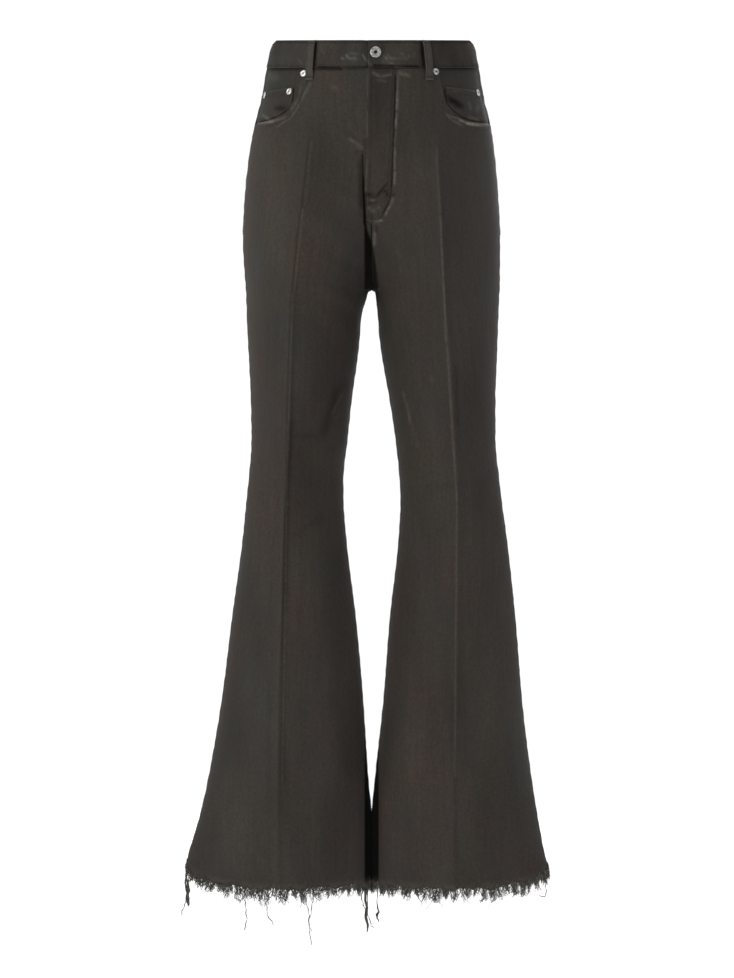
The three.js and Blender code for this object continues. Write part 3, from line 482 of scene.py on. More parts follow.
# %% Rubbed places, front and back
RUBBED_FRONT = (
    # Fly: the puckers at its top, the straight of the seam, its curve and its foot
    (1, -26, 13, -31, 1.8, 0.45), (14, -31, 27, -28, 1.7, 0.42), (6, -36, 20, -38, 1.6, 0.2),
    (34, -25, 52, -30, 2.8, 0.32), (36, -28, 35.6, -48, 1.5, 0.4), (35.4, -50, 34.4, -78, 1.9, 0.62),
    (34.2, -80, 32.6, -104, 1.7, 0.5), (32.4, -106, 31.6, -126, 1.4, 0.25),
    (31.4, -128, 31.4, -160, 1.7, 0.46), (32, -162, 31, -182, 1.7, 0.42),
    (30, -199, 26, -208, 1.5, 0.42), (25.6, -209, 18, -224, 1.5, 0.5), (15, -230, 3, -232, 1.7, 0.48),
    (1, -233, -5, -228, 1.4, 0.32), (-5.2, -24, -6, -60, 0.9, 0.26), (-6.4, -80, -7.2, -116, 0.9, 0.3),
    (-6.6, -146, -9, -190, 0.9, 0.24), (4, -246, 3, -266, 2.0, 0.36), (-8, -200, 4, -201.5, 1.4, 0.34),
    (-6, -212, 5, -219, 2.0, 0.28), (6, -210, 13, -216, 1.6, 0.24),
    # Mouths of the pockets
    (100, -79, 106, -84, 1.2, 0.3), (108, -86, 121, -89, 1.4, 0.42), (120, -91, 131, -95, 1.8, 1.2),
    (131, -96, 150, -98, 2.0, 1.7), (148, -98, 165, -97, 1.9, 1.5), (-119, -88, -136, -92, 1.5, 0.5),
    (-136, -93, -160, -96, 1.8, 1.2), (104, -84, 112, -92, 1.6, 0.4), (112, -92, 126, -99, 1.8, 0.45),
    (-98, -44, -102, -58, 1.3, 0.26), (-103, -62, -112, -78, 1.6, 0.34), (-84, -38, -99, -66, 1.6, 0.3),
    (-100, -68, -111, -86, 1.7, 0.34), (-112, -88, -132, -101, 1.5, 0.28),
    (95, -40, 99, -58, 1.2, 0.24),
    # Drag line at the fly, creases, scratches of the thigh and rubbed knees
    (-31, -117, -12, -130, 2.6, 0.36), (-22, -126, -11, -132, 2, 0.24), (-56, -42, -46, -52, 4, 0.14),
    (-84, -120, -94, -210, 2.2, 0.12), (-96, -214, -108, -330, 1.6, 0.24),
    (-110, -330, -117, -560, 1.5, 0.26), (-117, -560, -124, -1010, 1.5, 0.18),
    (90, -130, 95, -220, 1.8, 0.14), (95, -224, 103, -400, 1.5, 0.26),
    (104, -402, 118, -620, 1.5, 0.22), (118, -620, 115, -1000, 1.4, 0.15),
    (44, -467, 53, -510, 1.5, 0.26), (80, -446, 82, -452, 1.8, 0.2), (57, -510, 62, -545, 1.3, 0.16),
    (-56, -500, -40, -470, 1.5, 0.13),
)
RUBBED_BACK = (
    (-128, -98, -22, -98, 2, 0.6), (22, -98, 128, -98, 2, 0.6), (-140, -223, -84, -238, 2, 0.35),
    (-78, -238, -18, -222, 2, 0.35), (140, -223, 84, -238, 2, 0.35), (78, -238, 18, -222, 2, 0.35),
    (-153, -110, -150, -218, 1.8, 0.25), (153, -110, 150, -218, 1.8, 0.25), (0, -60, 0, -320, 2, 0.5),
    (-150, -58, -4, -78, 2, 0.45), (150, -58, 4, -78, 2, 0.45), (-110, -330, -118, -600, 1.5, 0.26),
    (106, -330, 117, -600, 1.5, 0.26), (-118, -600, -126, -1080, 1.5, 0.2),
    (117, -600, 113, -1080, 1.5, 0.2),
)


def rubbed(table, x, z):
    """How much of the table's strokes is at signed x and z, from 0 to their strength: rubbed wear for
    the rubbed tables, painted shade for the tables of dark lines.
    """
    total = np.zeros(np.shape(x))
    for x0, z0, x1, z1, width, strength in table:
        forward, across, length = on_stroke(x, z, x0, z0, x1, z1)
        reach = max(2.5, 1.3 * width) / length
        taper = ramp(forward, -reach, reach) * fade(forward, 1 - reach, 1 + reach)
        total = np.maximum(total, strength * taper * bell(across, 0, width))
    return total


print("rubbed places", len(RUBBED_FRONT) + len(RUBBED_BACK))

# %% Dark lines of painted shade, where folds, grooves, the waistband's edge and the pockets' mouths cast shadow
PAINTED_SHADE_FRONT = (
    # Painted shade in the trough beside the fly, which runs on to the crotch and widens there
    (-11, -118, -13, -140, 1.5, 0.5), (-13, -138, -12.4, -170, 1.8, 0.9),
    (-12.4, -168, -9.6, -238, 2.1, 1.05), (-15.5, -146, -14, -214, 4.6, 0.4),
    # Painted shadow under the waistband's edge
    (-76, -20.8, -40, -21, 1.8, 0.8), (-36, -20.6, -6, -20.4, 1.3, 0.5),
    (3, -18.6, 66, -18.2, 1.6, 0.7), (84, -19, 140, -20, 1.3, 0.45), (-140, -22, -86, -20.4, 1.4, 0.45),
    # Painted shade in the groove of the fly's sewn edge, and in the crumple across its foot
    (32.8, -30, 30.8, -116, 1.2, 0.6), (30.4, -118, 27.2, -186, 1.1, 0.5),
    (24, -204, 15, -221, 1.2, 0.4), (-9, -195, 7, -197, 2.3, 0.8), (7, -197, 14, -188, 2.1, 0.75),
    (14, -188, 21, -179, 1.6, 0.65), (16, -186, 23, -197, 2.0, 0.65), (23, -197, 33, -194, 1.7, 0.5),
    (-7, -205, 8, -207, 1.8, 0.35), (-12, -128, -32, -122, 2.2, 0.3), (-13, -134, -24, -136, 2.2, 0.3),
    # Painted shade on the knees, and on the shaded side of the creases
    (-46, -462, -69, -533, 7, 0.3), (-38, -452, -38, -545, 9, 0.25), (-114, -529, -72, -531, 4, 0.16),
    (-111, -505, -117, -622, 3.4, 0.38), (-117, -622, -121, -780, 3.4, 0.42),
    (-121, -780, -123, -1010, 3.6, 0.36), (-100, -540, -100, -700, 20, 0.1),
    (-118, -672, -68, -640, 7, 0.15), (-104, -300, -112, -505, 3.2, 0.16),
    (150, -586, 150, -642, 9, 0.18), (116, -430, 118, -515, 3, 0.16), (76, -600, 146, -594, 5, 0.12),
    (112, -880, 116, -1120, 4, 0.1), (-60, -880, -30, -1000, 12, 0.12), (30, -240, 66, -280, 14, 0.1),
    # Painted shade in the mouths of the pockets
    (105, -61.5, 122, -69.5, 4.6, 0.78), (112, -67, 127, -73, 4.8, 0.74),
    (103, -57, 112, -62, 2.6, 0.5), (-135, -75, -119, -75, 4.2, 0.6), (99, -50, 102, -62, 1.6, 0.45),
    (112, -84, 131, -91, 1.3, 0.6), (98, -47, 100, -60, 1.4, 0.5), (131, -92.5, 160, -93.5, 1.2, 0.6),
    (-100, -48, -109, -72, 1.5, 0.5), (-110, -74, -128, -86, 1.5, 0.5),
    (-130, -88, -158, -92, 1.4, 0.5),
)
# Painted shadow in the wedge above the crotch, from its point down to its foot: height, left and right
# side
CROTCH_SHADOW_WEDGE = (
    (-226, -10.6, -8.6), (-244, -10.4, -6.0), (-262, -10.2, 0.6), (-280, -10.0, 3.8), (-304, -9.8, 7.4),
    (-332, -9.6, 9.6),
)


# Painted shade of the front: its dark lines, and the shadow filled in over the wedge above the crotch
def shaded(x, z):
    down, left, right = (np.array(part) for part in zip(*CROTCH_SHADOW_WEDGE))
    left, right = np.interp(-z, -down, left), np.interp(-z, -down, right)
    inside = ramp(x, left - 1.6, left + 1.2) * fade(x, right - 1.6, right + 1.8)
    return np.maximum(rubbed(PAINTED_SHADE_FRONT, x, z), 0.92 * inside * ramp(-z, 218, 236))


print("dark lines", len(PAINTED_SHADE_FRONT))

# %% [markdown]
# ## Node groups
# Several cloths share the same effects, so each effect is built once as a group of nodes: the
# diagonal wale of a twill with its slubs, the uneven take of wax and dye, and the broken look
# of a rubbed edge. Every material places them with its own values.


# %% Helpers for node trees
def math_node(tree, how, a, b=None):
    node = tree.nodes.new("ShaderNodeMath")
    node.operation = how
    for socket, value in zip(node.inputs, (a, b)):
        if value is not None:
            feed(socket, value)
    return node.outputs[0]


def times(tree, a, b):
    return math_node(tree, "MULTIPLY", a, b)


def plus(tree, a, b):
    return math_node(tree, "ADD", a, b)


def noise_node(tree, vector, scale, detail=3.0, rough=0.55, stretch=(1, 1, 1)):
    mapping = tree.nodes.new("ShaderNodeMapping")
    settle(mapping, {"Scale": stretch, "Vector": vector})
    node = tree.nodes.new("ShaderNodeTexNoise")
    grain = mapping.outputs[0]
    settle(node, {"Vector": grain, "Scale": scale, "Detail": detail, "Roughness": rough})
    return node.outputs["Fac"]


def range_node(tree, value, low, high, to_low=0.0, to_high=1.0):
    node = tree.nodes.new("ShaderNodeMapRange")
    node.clamp = True
    settle(node, {"Value": value, "From Min": low, "From Max": high})
    settle(node, {"To Min": to_low, "To Max": to_high})
    return node.outputs[0]


def colour_mix(tree, amount, a, b, blend="MIX"):
    node = tree.nodes.new("ShaderNodeMix")
    node.data_type = "RGBA"
    node.blend_type = blend
    for k, value in ((0, amount), (6, a), (7, b)):
        feed(node.inputs[k], (*value, 1) if isinstance(value, tuple) else value)
    return node.outputs[2]


def new_group(name, inputs, outputs):
    tree = bpy.data.node_groups.new(name, "ShaderNodeTree")
    for label, kind, value in inputs:
        socket = tree.interface.new_socket(label, in_out="INPUT", socket_type=kind)
        if value is not None:
            socket.default_value = value
    for label, kind in outputs:
        tree.interface.new_socket(label, in_out="OUTPUT", socket_type=kind)
    return tree, tree.nodes.new("NodeGroupInput"), tree.nodes.new("NodeGroupOutput")


def bumped(tree, height, strength, distance):
    """A normal that rises by the distance, in millimetres, where the height is 1."""
    node = tree.nodes.new("ShaderNodeBump")
    settle(node, {"Strength": strength, "Distance": distance * MM, "Height": height})
    return node.outputs[0]


# %% Twill: wales, yarns and slubs, from the cloth's own lengths
FLOAT, VECTOR = "NodeSocketFloat", "NodeSocketVector"
twill, given, result = new_group(
    "twill weave",
    [("Cloth", VECTOR, None), ("Yarns per metre", FLOAT, 1500.0), ("Slub", FLOAT, 0.5)],
    [("Height", FLOAT), ("Streak", FLOAT)],
)
split = twill.nodes.new("ShaderNodeSeparateXYZ")
feed(split.inputs[0], given.outputs["Cloth"])
turns = times(twill, given.outputs["Yarns per metre"], 2 * math.pi)
diagonal = plus(twill, split.outputs["X"], times(twill, split.outputs["Y"], 0.62))
wale = math_node(twill, "SINE", times(twill, times(twill, diagonal, turns), 0.33))
yarn = math_node(twill, "SINE", times(twill, split.outputs["X"], turns))
pick = math_node(twill, "SINE", times(twill, split.outputs["Y"], turns))
slubs = noise_node(twill, given.outputs["Cloth"], 1.0, 3.0, 0.6, (900, 38, 1))
lanes = noise_node(twill, given.outputs["Cloth"], 1.0, 2.0, 0.5, (170, 9, 1))
weave = plus(twill, times(twill, wale, 0.5), times(twill, yarn, 0.3))
weave = plus(twill, weave, times(twill, pick, 0.2))
slub = times(twill, slubs, given.outputs["Slub"])
settle(result, {
    "Height": plus(twill, times(twill, weave, 0.35), slub),
    "Streak": plus(twill, times(twill, slubs, 0.6), times(twill, lanes, 0.4)),
})

# %% Wax: large clouds, smaller stains and the fine crackle of its skin
wax, given, result = new_group(
    "wax cast", [("Place", VECTOR, None)],
    [("Cloud", FLOAT), ("Stain", FLOAT), ("Crackle", FLOAT), ("Rust", FLOAT)],
)
for label, scale, detail, rough, tall, low, high in (
    ("Rust", 11, 3, 0.55, 0.6, 0.4, 0.62), ("Cloud", 5.5, 4, 0.6, 0.45, 0.32, 0.68),
    ("Stain", 21, 5, 0.62, 0.4, 0.34, 0.7),
):
    cloud = noise_node(wax, given.outputs["Place"], scale, detail, rough, (1, 1, tall))
    feed(result.inputs[label], range_node(wax, cloud, low, high))
feed(result.inputs["Crackle"], noise_node(wax, given.outputs["Place"], 260, 6, 0.68))

# %% Rubbed: breaks the soft value of a worn place into grains and streaks
worn, given, result = new_group(
    "rubbed away", [("Place", VECTOR, None), ("Rub", FLOAT, 0.0)], [("Bare", FLOAT)]
)
grains = noise_node(worn, given.outputs["Place"], 330, 5, 0.7)
patch = noise_node(worn, given.outputs["Place"], 60, 3, 0.6)
patch = range_node(worn, patch, 0.3, 0.6, 0.35, 1.0)
broken = times(worn, range_node(worn, grains, 0.34, 0.62), patch)
bare = plus(worn, times(worn, broken, 0.75), 0.25)
feed(result.inputs["Bare"], times(worn, given.outputs["Rub"], bare))
print("groups", [g.name for g in bpy.data.node_groups])

# %% [markdown]
# ## Denim
# The cloth is a dark brown-black twill under a dull skin of wax. One function mixes the
# material from the groups, and each cloth gets its own shades: main denim, waistband,
# pockets, belt loops, and the slightly greener cloth inside the pockets' mouths. Rub, fray
# and tone come from values on the points, weave from the lengths measured on the cloth. The
# tone carries painted light and shade, and where it is dark the gloss goes too.


# %% Denim materials
def use_group(tree, group, **values):
    node = tree.nodes.new("ShaderNodeGroup")
    node.node_tree = group
    settle(node, values)
    return node


BARE, FRAYED = (0.27, 0.245, 0.21), (0.07, 0.061, 0.05)  # cotton without its dye
DULL, DULL_RANGE = 0.66, 0.07


def denim(name, dark, light, warm):
    """Waxed denim between a dark and a light shade, with stains of a warm one."""
    material, tree, shader, place = new_finish(name)
    lengths = tree.nodes.new("ShaderNodeUVMap")
    lengths.uv_map = "cloth"
    values = {}
    for label in ("rub", "fray", "tone"):
        reader = tree.nodes.new("ShaderNodeAttribute")
        reader.attribute_name = label
        values[label] = reader.outputs["Fac"]
    cast = use_group(tree, wax, Place=place)
    weave = use_group(tree, twill, Cloth=lengths.outputs[0])
    lost = use_group(tree, worn, Place=place, Rub=values["rub"])
    shade = colour_mix(tree, cast.outputs["Cloud"], dark, light)
    shade = colour_mix(tree, range_node(tree, cast.outputs["Stain"], 0, 1, 0, 0.62), shade, warm)
    hue = colour_mix(tree, cast.outputs["Rust"], (0.95, 1.015, 0.965), (1.08, 0.972, 0.95))
    shade = colour_mix(tree, 1.0, shade, hue, "MULTIPLY")
    for source, low, high, darkest, lightest in (
        (weave.outputs["Streak"], 0.3, 0.7, 0.79, 1.21),
        (cast.outputs["Crackle"], 0.3, 0.7, 0.74, 1.26),
        (values["tone"], -1, 1, 0.06, 1.94),
    ):
        factor = range_node(tree, source, low, high, darkest, lightest)
        shade = colour_mix(tree, 1.0, shade, factor, "MULTIPLY")
    shade = colour_mix(tree, lost.outputs["Bare"], shade, BARE)
    shade = colour_mix(tree, times(tree, values["fray"], 0.55), shade, FRAYED)
    dull = range_node(tree, cast.outputs["Stain"], 0, 1, DULL - DULL_RANGE, DULL + DULL_RANGE)
    dull = plus(tree, dull, times(tree, lost.outputs["Bare"], 0.2))
    # Painted shade in the tone also takes away the gloss, so the shaded places keep no sheen
    gloss = range_node(tree, values["tone"], -0.9, 0, 0.0, 0.27)
    height = times(tree, weave.outputs["Height"], 0.55)
    height = plus(tree, height, times(tree, cast.outputs["Crackle"], 0.5))
    settle(shader, {
        "Base Color": shade, "Roughness": dull, "Specular IOR Level": gloss,
        "Sheen Weight": 0.04, "Sheen Roughness": 0.55, "Normal": bumped(tree, height, 0.75, 0.6),
    })
    return material


SHADES = (
    ("waxed denim", (0.0175, 0.0148, 0.012), (0.034, 0.0295, 0.0245), (0.04, 0.0275, 0.021)),
    ("waistband denim", (0.021, 0.0185, 0.016), (0.039, 0.0345, 0.0295), (0.041, 0.0315, 0.025)),
    ("pocket denim", (0.018, 0.0155, 0.0125), (0.035, 0.0305, 0.025), (0.038, 0.0285, 0.022)),
    ("pocket mouth denim", (0.0155, 0.015, 0.012), (0.028, 0.0275, 0.0215), (0.031, 0.0245, 0.019)),
    ("belt loop denim", (0.027, 0.0235, 0.02), (0.046, 0.04, 0.0335), (0.045, 0.035, 0.028)),
)
main_denim, band_denim, pocket_denim, mouth_denim, loop_denim = (denim(*row) for row in SHADES)
print("cloths", len(bpy.data.materials))

# %% [markdown]
# ## Making a sheet
# A sheet starts as a flat grid from bmesh, as wide and long as it has columns and rows. Its
# points are then drawn onto the section, its lengths are measured along the cloth for the
# weave, and a Solidify gives it its thickness inwards, so the outer face stays where the
# solids have it. Drawing a grid onto a form is what a tailor's dummy does, and it gives clean
# rows for the folds.


# %% Sheet maker
def grid_mesh(name, rows, columns):
    bm = bmesh.new()
    bmesh.ops.create_grid(bm, x_segments=columns - 1, y_segments=rows - 1, size=0.5)
    return mesh_of(bm, name)


def sheet(name, points, material, thick, rub=None, fray=None, tone=None, centre=None, bevel=0.0):
    """points is rows x columns x 3 in millimetres: a row runs across the cloth."""
    rows, columns = points.shape[:2]
    mesh = grid_mesh(name, rows, columns)
    flat = np.zeros(rows * columns * 3)
    mesh.vertices.foreach_get("co", flat)
    flat = flat.reshape(-1, 3)
    j = np.rint((flat[:, 0] + 0.5) * (columns - 1)).astype(int)
    i = np.rint((0.5 - flat[:, 1]) * (rows - 1)).astype(int)
    mesh.vertices.foreach_set("co", (points[i, j] * MM).astype(np.float32).ravel())
    across, down = np.zeros((rows, columns)), np.zeros((rows, columns))
    across[:, 1:] = np.cumsum(np.linalg.norm(np.diff(points, axis=1), axis=2), axis=1)
    down[1:] = np.cumsum(np.linalg.norm(np.diff(points, axis=0), axis=2), axis=0)
    middle = columns // 2 if centre is None else centre
    across = across - across[:, middle:middle + 1]
    down = np.broadcast_to(down[:, middle:middle + 1], down.shape)
    layer = mesh.uv_layers.new(name="cloth")
    loops = np.zeros(len(mesh.loops), np.int32)
    mesh.loops.foreach_get("vertex_index", loops)
    uv = np.stack([across[i, j][loops], -down[i, j][loops]], axis=1) * MM
    layer.data.foreach_set("uv", uv.astype(np.float32).ravel())
    for label, values in (("rub", rub), ("fray", fray), ("tone", tone)):
        attribute = mesh.attributes.new(label, "FLOAT", "POINT")
        values = np.broadcast_to(0.0 if values is None else values, (rows, columns))
        attribute.data.foreach_set("value", values[i, j].astype(np.float32))
    smooth(mesh, material)
    mesh.update()
    piece = placed(name, mesh)
    print(name, "area", round(sum(face.area for face in mesh.polygons), 4))
    wall = piece.modifiers.new("cloth", "SOLIDIFY")
    wall.thickness = thick * MM
    wall.offset = -1
    if bevel:
        turn = piece.modifiers.new("turned edge", "BEVEL")
        turn.width = bevel * MM
        turn.segments = 2
        turn.limit_method = "ANGLE"
        turn.angle_limit = math.radians(60)
    return piece


def face_outwards(piece, away):
    """Turns the faces if they look against the given direction at the middle of the sheet."""
    mesh = piece.data
    normals = np.zeros(len(mesh.polygons) * 3)
    mesh.polygons.foreach_get("normal", normals)
    centres = np.zeros(len(mesh.polygons) * 3)
    mesh.polygons.foreach_get("center", centres)
    hint = away(centres.reshape(-1, 3))
    if (normals.reshape(-1, 3) * hint).sum() < 0:
        mesh.flip_normals()


def fit(piece, *nodes, slot=None, face=-1):
    face_outwards(piece, lambda centres: np.array([0, float(face), 0]))
    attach(piece, "root")
    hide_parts(*nodes)
    return piece


# %% [markdown]
# ## Front and back panels
# The four panels are the garment. Their columns crowd together at the seams, along the mouth
# of the pocket and on the crease, and their rows at the top, where the small folds are.


# %% Columns and rows
def spread(*runs):
    """Sorted steps out of runs, each given by its two ends and its count."""
    return np.unique(np.round(np.concatenate([np.linspace(a, b, count) for a, b, count in runs]), 5))


FRONT_T = spread(
    (0, 0.012, 5), (0.012, 0.05, 7), (0.05, 0.4, 24), (0.4, 0.5, 18), (0.5, 0.53, 7),
    (0.53, 0.8, 16), (0.8, 0.988, 30), (0.988, 1, 5),
)
BACK_T = spread(
    (0, 0.012, 5), (0.012, 0.05, 6), (0.05, 0.47, 22), (0.47, 0.53, 11), (0.53, 0.95, 22),
    (0.95, 0.988, 6), (0.988, 1, 5),
)
TOP_END = -130  # where the rows that follow the slanted top give way to level ones


def levels_down(*runs):
    parts = [np.linspace(a, b, count) for a, b, count in runs]
    return np.concatenate([part[:-1] for part in parts[:-1]] + parts[-1:])


FRONT_Z = levels_down(
    (TOP_END, -322, 98), (-322, -337, 16), (-337, -560, 56), (-560, -690, 28), (-690, HEM_Z, 80)
)
BACK_Z = levels_down((TOP_END, -322, 66), (-322, -340, 11), (-340, -690, 68), (-690, HEM_Z, 66))
TOP_ROWS = {-1: 52, 1: 24}
STEPS = {-1: (FRONT_T, FRONT_Z), 1: (BACK_T, BACK_Z)}
CREASE_COLUMN = {face: int(np.argmin(np.abs(t - 0.5))) for face, (t, _) in STEPS.items()}
counts = {WAY[face]: (len(t), len(z) + TOP_ROWS[face]) for face, (t, z) in STEPS.items()}
print("columns and rows", counts)


# %% Distance to a line on the front, for hems and turned edges
def line_distance(line, x, z):
    line = np.asarray(line, float)
    best = np.full(np.shape(x), 1e9)
    for (x0, z0), (x1, z1) in zip(line[:-1], line[1:]):
        dx, dz = x1 - x0, z1 - z0
        s = np.clip(((x - x0) * dx + (z - z0) * dz) / (dx * dx + dz * dz), 0, 1)
        best = np.minimum(best, np.hypot(x - x0 - s * dx, z - z0 - s * dz))
    return best


SCOOP_LINES = {
    leg: [(92.3, -20.0)] + [
        (x, float(column(SCOOP, SIDE[leg], x))) for x in np.linspace(92.5, 164, 40)
    ]
    for leg in (1, -1)
}


def panel(leg, face):
    """Points of a panel and its rub, fray and tone."""
    t, lower = STEPS[face]
    if face < 0:
        top = np.where(t < 0.5, scoop_z(leg, t), waist_z(leg, -1, t))
    else:
        top = yoke_z(leg, t)
    shares = np.linspace(0, 1, TOP_ROWS[face] + 1)[:-1, None]
    z = np.concatenate([mix(top[None, :], TOP_END, shares), drooped(leg, lower[:, None], t[None, :])])
    grid_t = np.broadcast_to(t[None, :], z.shape)
    z = z + torn(leg, face, grid_t) * ramp(z, -1112, -1146)
    x = section(leg, face, grid_t, z)[0]
    lift = np.zeros(z.shape)
    if face < 0:
        away = line_distance(SCOOP_LINES[leg], x, z)
        lift = 0.5 * fade(away, 8.2, 9.6) - 0.9 * fade(away, 0, 1.5)
        lift = lift - 0.35 * bell(away, 8.8, 0.8)
        rope = np.sin(x / 2.1 + z / 2.6) * 0.16
        lift = lift + rope * fade(away, 8, 11) * ramp(away, 0.5, 2)
    else:
        away = yoke_z(leg, grid_t) - z
        lift = 0.5 * fade(away, 9.5, 11) * ramp(away, 0, 1)
    points = cloth(leg, face, grid_t, z, lift)
    hem = hem_drop(leg, grid_t) + HEM_Z
    fray = fade(z - hem, 1.5, 9)
    across, up = seen_points(points) if face < 0 else (points[..., 0], points[..., 2])
    rub = rubbed(RUBBED_FRONT if face < 0 else RUBBED_BACK, across, up)
    # Painted shade where the two flares nearly touch near the hem: the tone darkens near the middle
    reach, start = (8.0, -900.0) if leg < 0 else (5.0, -1000.0)  # shade between the flares
    hollow = fade(np.abs(across), reach - 3.5, reach + 1) * ramp(z, start, start - 70)
    return points, rub, fray, toned(leg, face, across, up) - 0.95 * hollow


# %% Tone: broad lighter and darker areas, partly painted light and shade: the outer right hip and thigh lighter towards the key light, the outer left thigh and flare darker away from it, and smaller areas lighter or darker
TONES = (
    # leg, face, x, z, wide, high, amount
    (-1, -1, 150, -230, 36, 210, 0.33), (-1, -1, 60, -220, 30, 120, 0.05),
    (-1, -1, 70, -470, 26, 70, -0.12), (1, -1, 60, -200, 26, 60, 0.16), (1, -1, 135, -140, 26, 60, 0.1),
    (-1, -1, 130, -980, 60, 120, 0.1), (1, -1, 60, -1040, 50, 100, 0.12),
    (1, -1, 200, -1080, 40, 90, -0.14), (-1, -1, 60, -1060, 40, 90, -0.1),
    (1, -1, 135, -650, 34, 120, 0.1), (1, -1, 160, -480, 30, 140, -0.12),
    (1, -1, 68, -168, 16, 24, 0.12), (1, -1, 86, -285, 9, 55, 0.1), (1, -1, 43, -216, 12, 20, -0.1),
    (1, -1, 40, -120, 7, 30, -0.1),
)


def toned(leg, face, x, z):
    """Tone at signed x and z: 0 is the plain cloth, -1 nearly black, 1 twice as light."""
    # Slow waves, a lighter top and a darker hem, then the rows of the tone table, and on the front the
    # painted shade of the dark lines and the crotch
    total = 0.05 * waves(x * 1.3, z * 0.8, 5 + leg + face) + 0.09 * fade(-z, 250, 520)
    total = total - 0.07 * ramp(-z, 900, 1050)
    for row_leg, row_face, x0, z0, wide, high, amount in TONES:
        if row_leg == leg and row_face == face:
            total = total + amount * bell(leg * x, x0, wide) * bell(z, z0, high)
    return total - (shaded(x, z) if face < 0 else 0)


panels = {}
for leg in (1, -1):
    for face in (-1, 1):
        points, rub, fray, tone = panel(leg, face)
        name = f"{WAY[face]}_cloth_{SIDE[leg]}"
        piece = sheet(name, points, main_denim, CLOTH_THICK, rub, fray, tone, CREASE_COLUMN[face])
        node = f"{WAY[face]}_panel_{SIDE[leg]}"
        panels[(leg, face)] = fit(piece, node, slot="waxed_denim", face=face)
print("panels", [len(p.data.polygons) for p in panels.values()])

# %% [markdown]
# ## Yokes, pocket facings and coin pockets
# The yoke shapes the seat and closes the back against the waistband. Behind each scooped
# mouth lies the facing, with the small coin pocket sewn on it. They use the same section as
# the panels, moved in or out by the thickness of the layers between.

# %% Yokes
for leg in (1, -1):
    t = BACK_T[None, :]
    shares = np.linspace(0, 1, 30)[:, None]
    top, low = waist_z(leg, 1, BACK_T), yoke_z(leg, BACK_T)
    z = mix(top[None, :], low[None, :], shares)
    grid_t = np.broadcast_to(t, z.shape)
    away = z - low[None, :]
    lift = -0.5 * fade(away, 0, 1.4) - 0.5 * fade(top[None, :] - z, 0, 1.2)
    x = leg * section(leg, 1, grid_t, z)[0]
    piece = sheet(
        f"yoke_{SIDE[leg]}", cloth(leg, 1, grid_t, z, lift), main_denim, CLOTH_THICK,
        rubbed(RUBBED_BACK, x, z), None, toned(leg, 1, x, z),
    )
    fit(piece, f"back_yoke_{SIDE[leg]}", slot="waxed_denim", face=1)

# %% Facings
# Rubbed wear in the pockets' mouths; the wide soft row at x -146 to -130 near the waist is a painted
# highlight
MOUTH_WEAR_AND_HIGHLIGHT = (
    (-152, -84, -140, -92, 1.8, 0.5), (-146, -30, -130, -33, 6, 0.22),
    (-130, -90, -150, -96, 1.6, 0.35), (135, -66, 138, -79, 1.9, 0.3), (148, -71, 145, -80, 2.8, 0.26),
    (134, -87, 148, -91, 2.2, 0.3), (112, -50, 120, -51, 2.4, 0.16), (128, -94, 158, -98, 1.8, 0.6),
    (-120, -84, -134, -90, 1.4, 0.4), (108, -82, 124, -90, 1.6, 0.3),
)
TUCK, TUCK_DEPTH = 4.0, 3.3  # how far the facing's top edge goes up behind the waistband, and how deep
for leg in (1, -1):
    t = spread((0, 0.04, 5), (0.04, 0.4, 22), (0.4, 0.55, 16))
    waist = waist_z(leg, -1, t)[None, :]
    top = waist + TUCK * ramp(t, 0.016, 0.03)[None, :]
    low = column(FACING_EDGE, "z", section(leg, -1, t, np.full(t.shape, -85.0))[0])
    z = mix(top, low[None, :], np.linspace(0, 1, 44)[:, None] ** 1.15)
    grid_t = np.broadcast_to(t[None, :], z.shape)
    level = fade(grid_t, 0, 1 / 12) * fade(z, -79, -97)
    tucked = ramp(z - waist, -4, 0.3) * ramp(grid_t, 0.008, 0.018)
    points = cloth(leg, -1, grid_t, z, mix(-FACING_DEPTH * (1 - level), -TUCK_DEPTH, tucked))
    across, up = seen_points(points)
    # Mottled and a little lighter, with the painted shade of the dark lines in the pocket's mouth
    tone = 0.06 + 0.06 * waves(across * 2, up * 2, 3 + leg) - rubbed(PAINTED_SHADE_FRONT, across, up)
    rub = rubbed(MOUTH_WEAR_AND_HIGHLIGHT, across, up)
    piece = sheet(f"mouth_facing_{SIDE[leg]}", points, mouth_denim, FACING_THICK, rub, None, tone)
    fit(piece, f"pocket_facing_{SIDE[leg]}", slot="pocket_denim")

# %% Coin pockets, with their hem along the top
COIN_TOP = -56
COIN_INNER = {1: 0.468, -1: 0.425}
ON_FACING = LAYER_GAP - FACING_DEPTH + FACING_THICK
for leg in (1, -1):
    t = np.linspace(0.14, COIN_INNER[leg], 44)
    low = np.minimum(scoop_z(leg, t) + 1.8, COIN_TOP - 6)
    z = mix(COIN_TOP, low[None, :], np.linspace(0, 1, 26)[:, None])
    grid_t = np.broadcast_to(t[None, :], z.shape)
    drop = COIN_TOP - z
    lift = ON_FACING + 0.35 * fade(drop, 7.5, 8.6) - 0.4 * fade(drop, 0, 1)
    points = cloth(leg, -1, grid_t, z, lift)
    across, up = seen_points(points)
    rub = np.maximum(0.22 * bell(drop, 1, 1.4), rubbed(MOUTH_WEAR_AND_HIGHLIGHT, across, up))
    # The painted shade of the dark lines reaches onto the coin pocket
    tone = 0.05 * waves(across * 2, up * 2, 9 + leg) - rubbed(PAINTED_SHADE_FRONT, across, up)
    piece = sheet(f"coin_cloth_{SIDE[leg]}", points, pocket_denim, FACING_THICK, rub, None, tone)
    fit(piece, f"coin_pocket_{SIDE[leg]}", slot="pocket_denim")

# %% [markdown]
# ## Fly placket
# The fly closes left over right. Its free edge is folded and stands a little proud, and its
# sewn edge runs straight down and then curves to the centre seam like a J, where it sinks
# into the cloth.

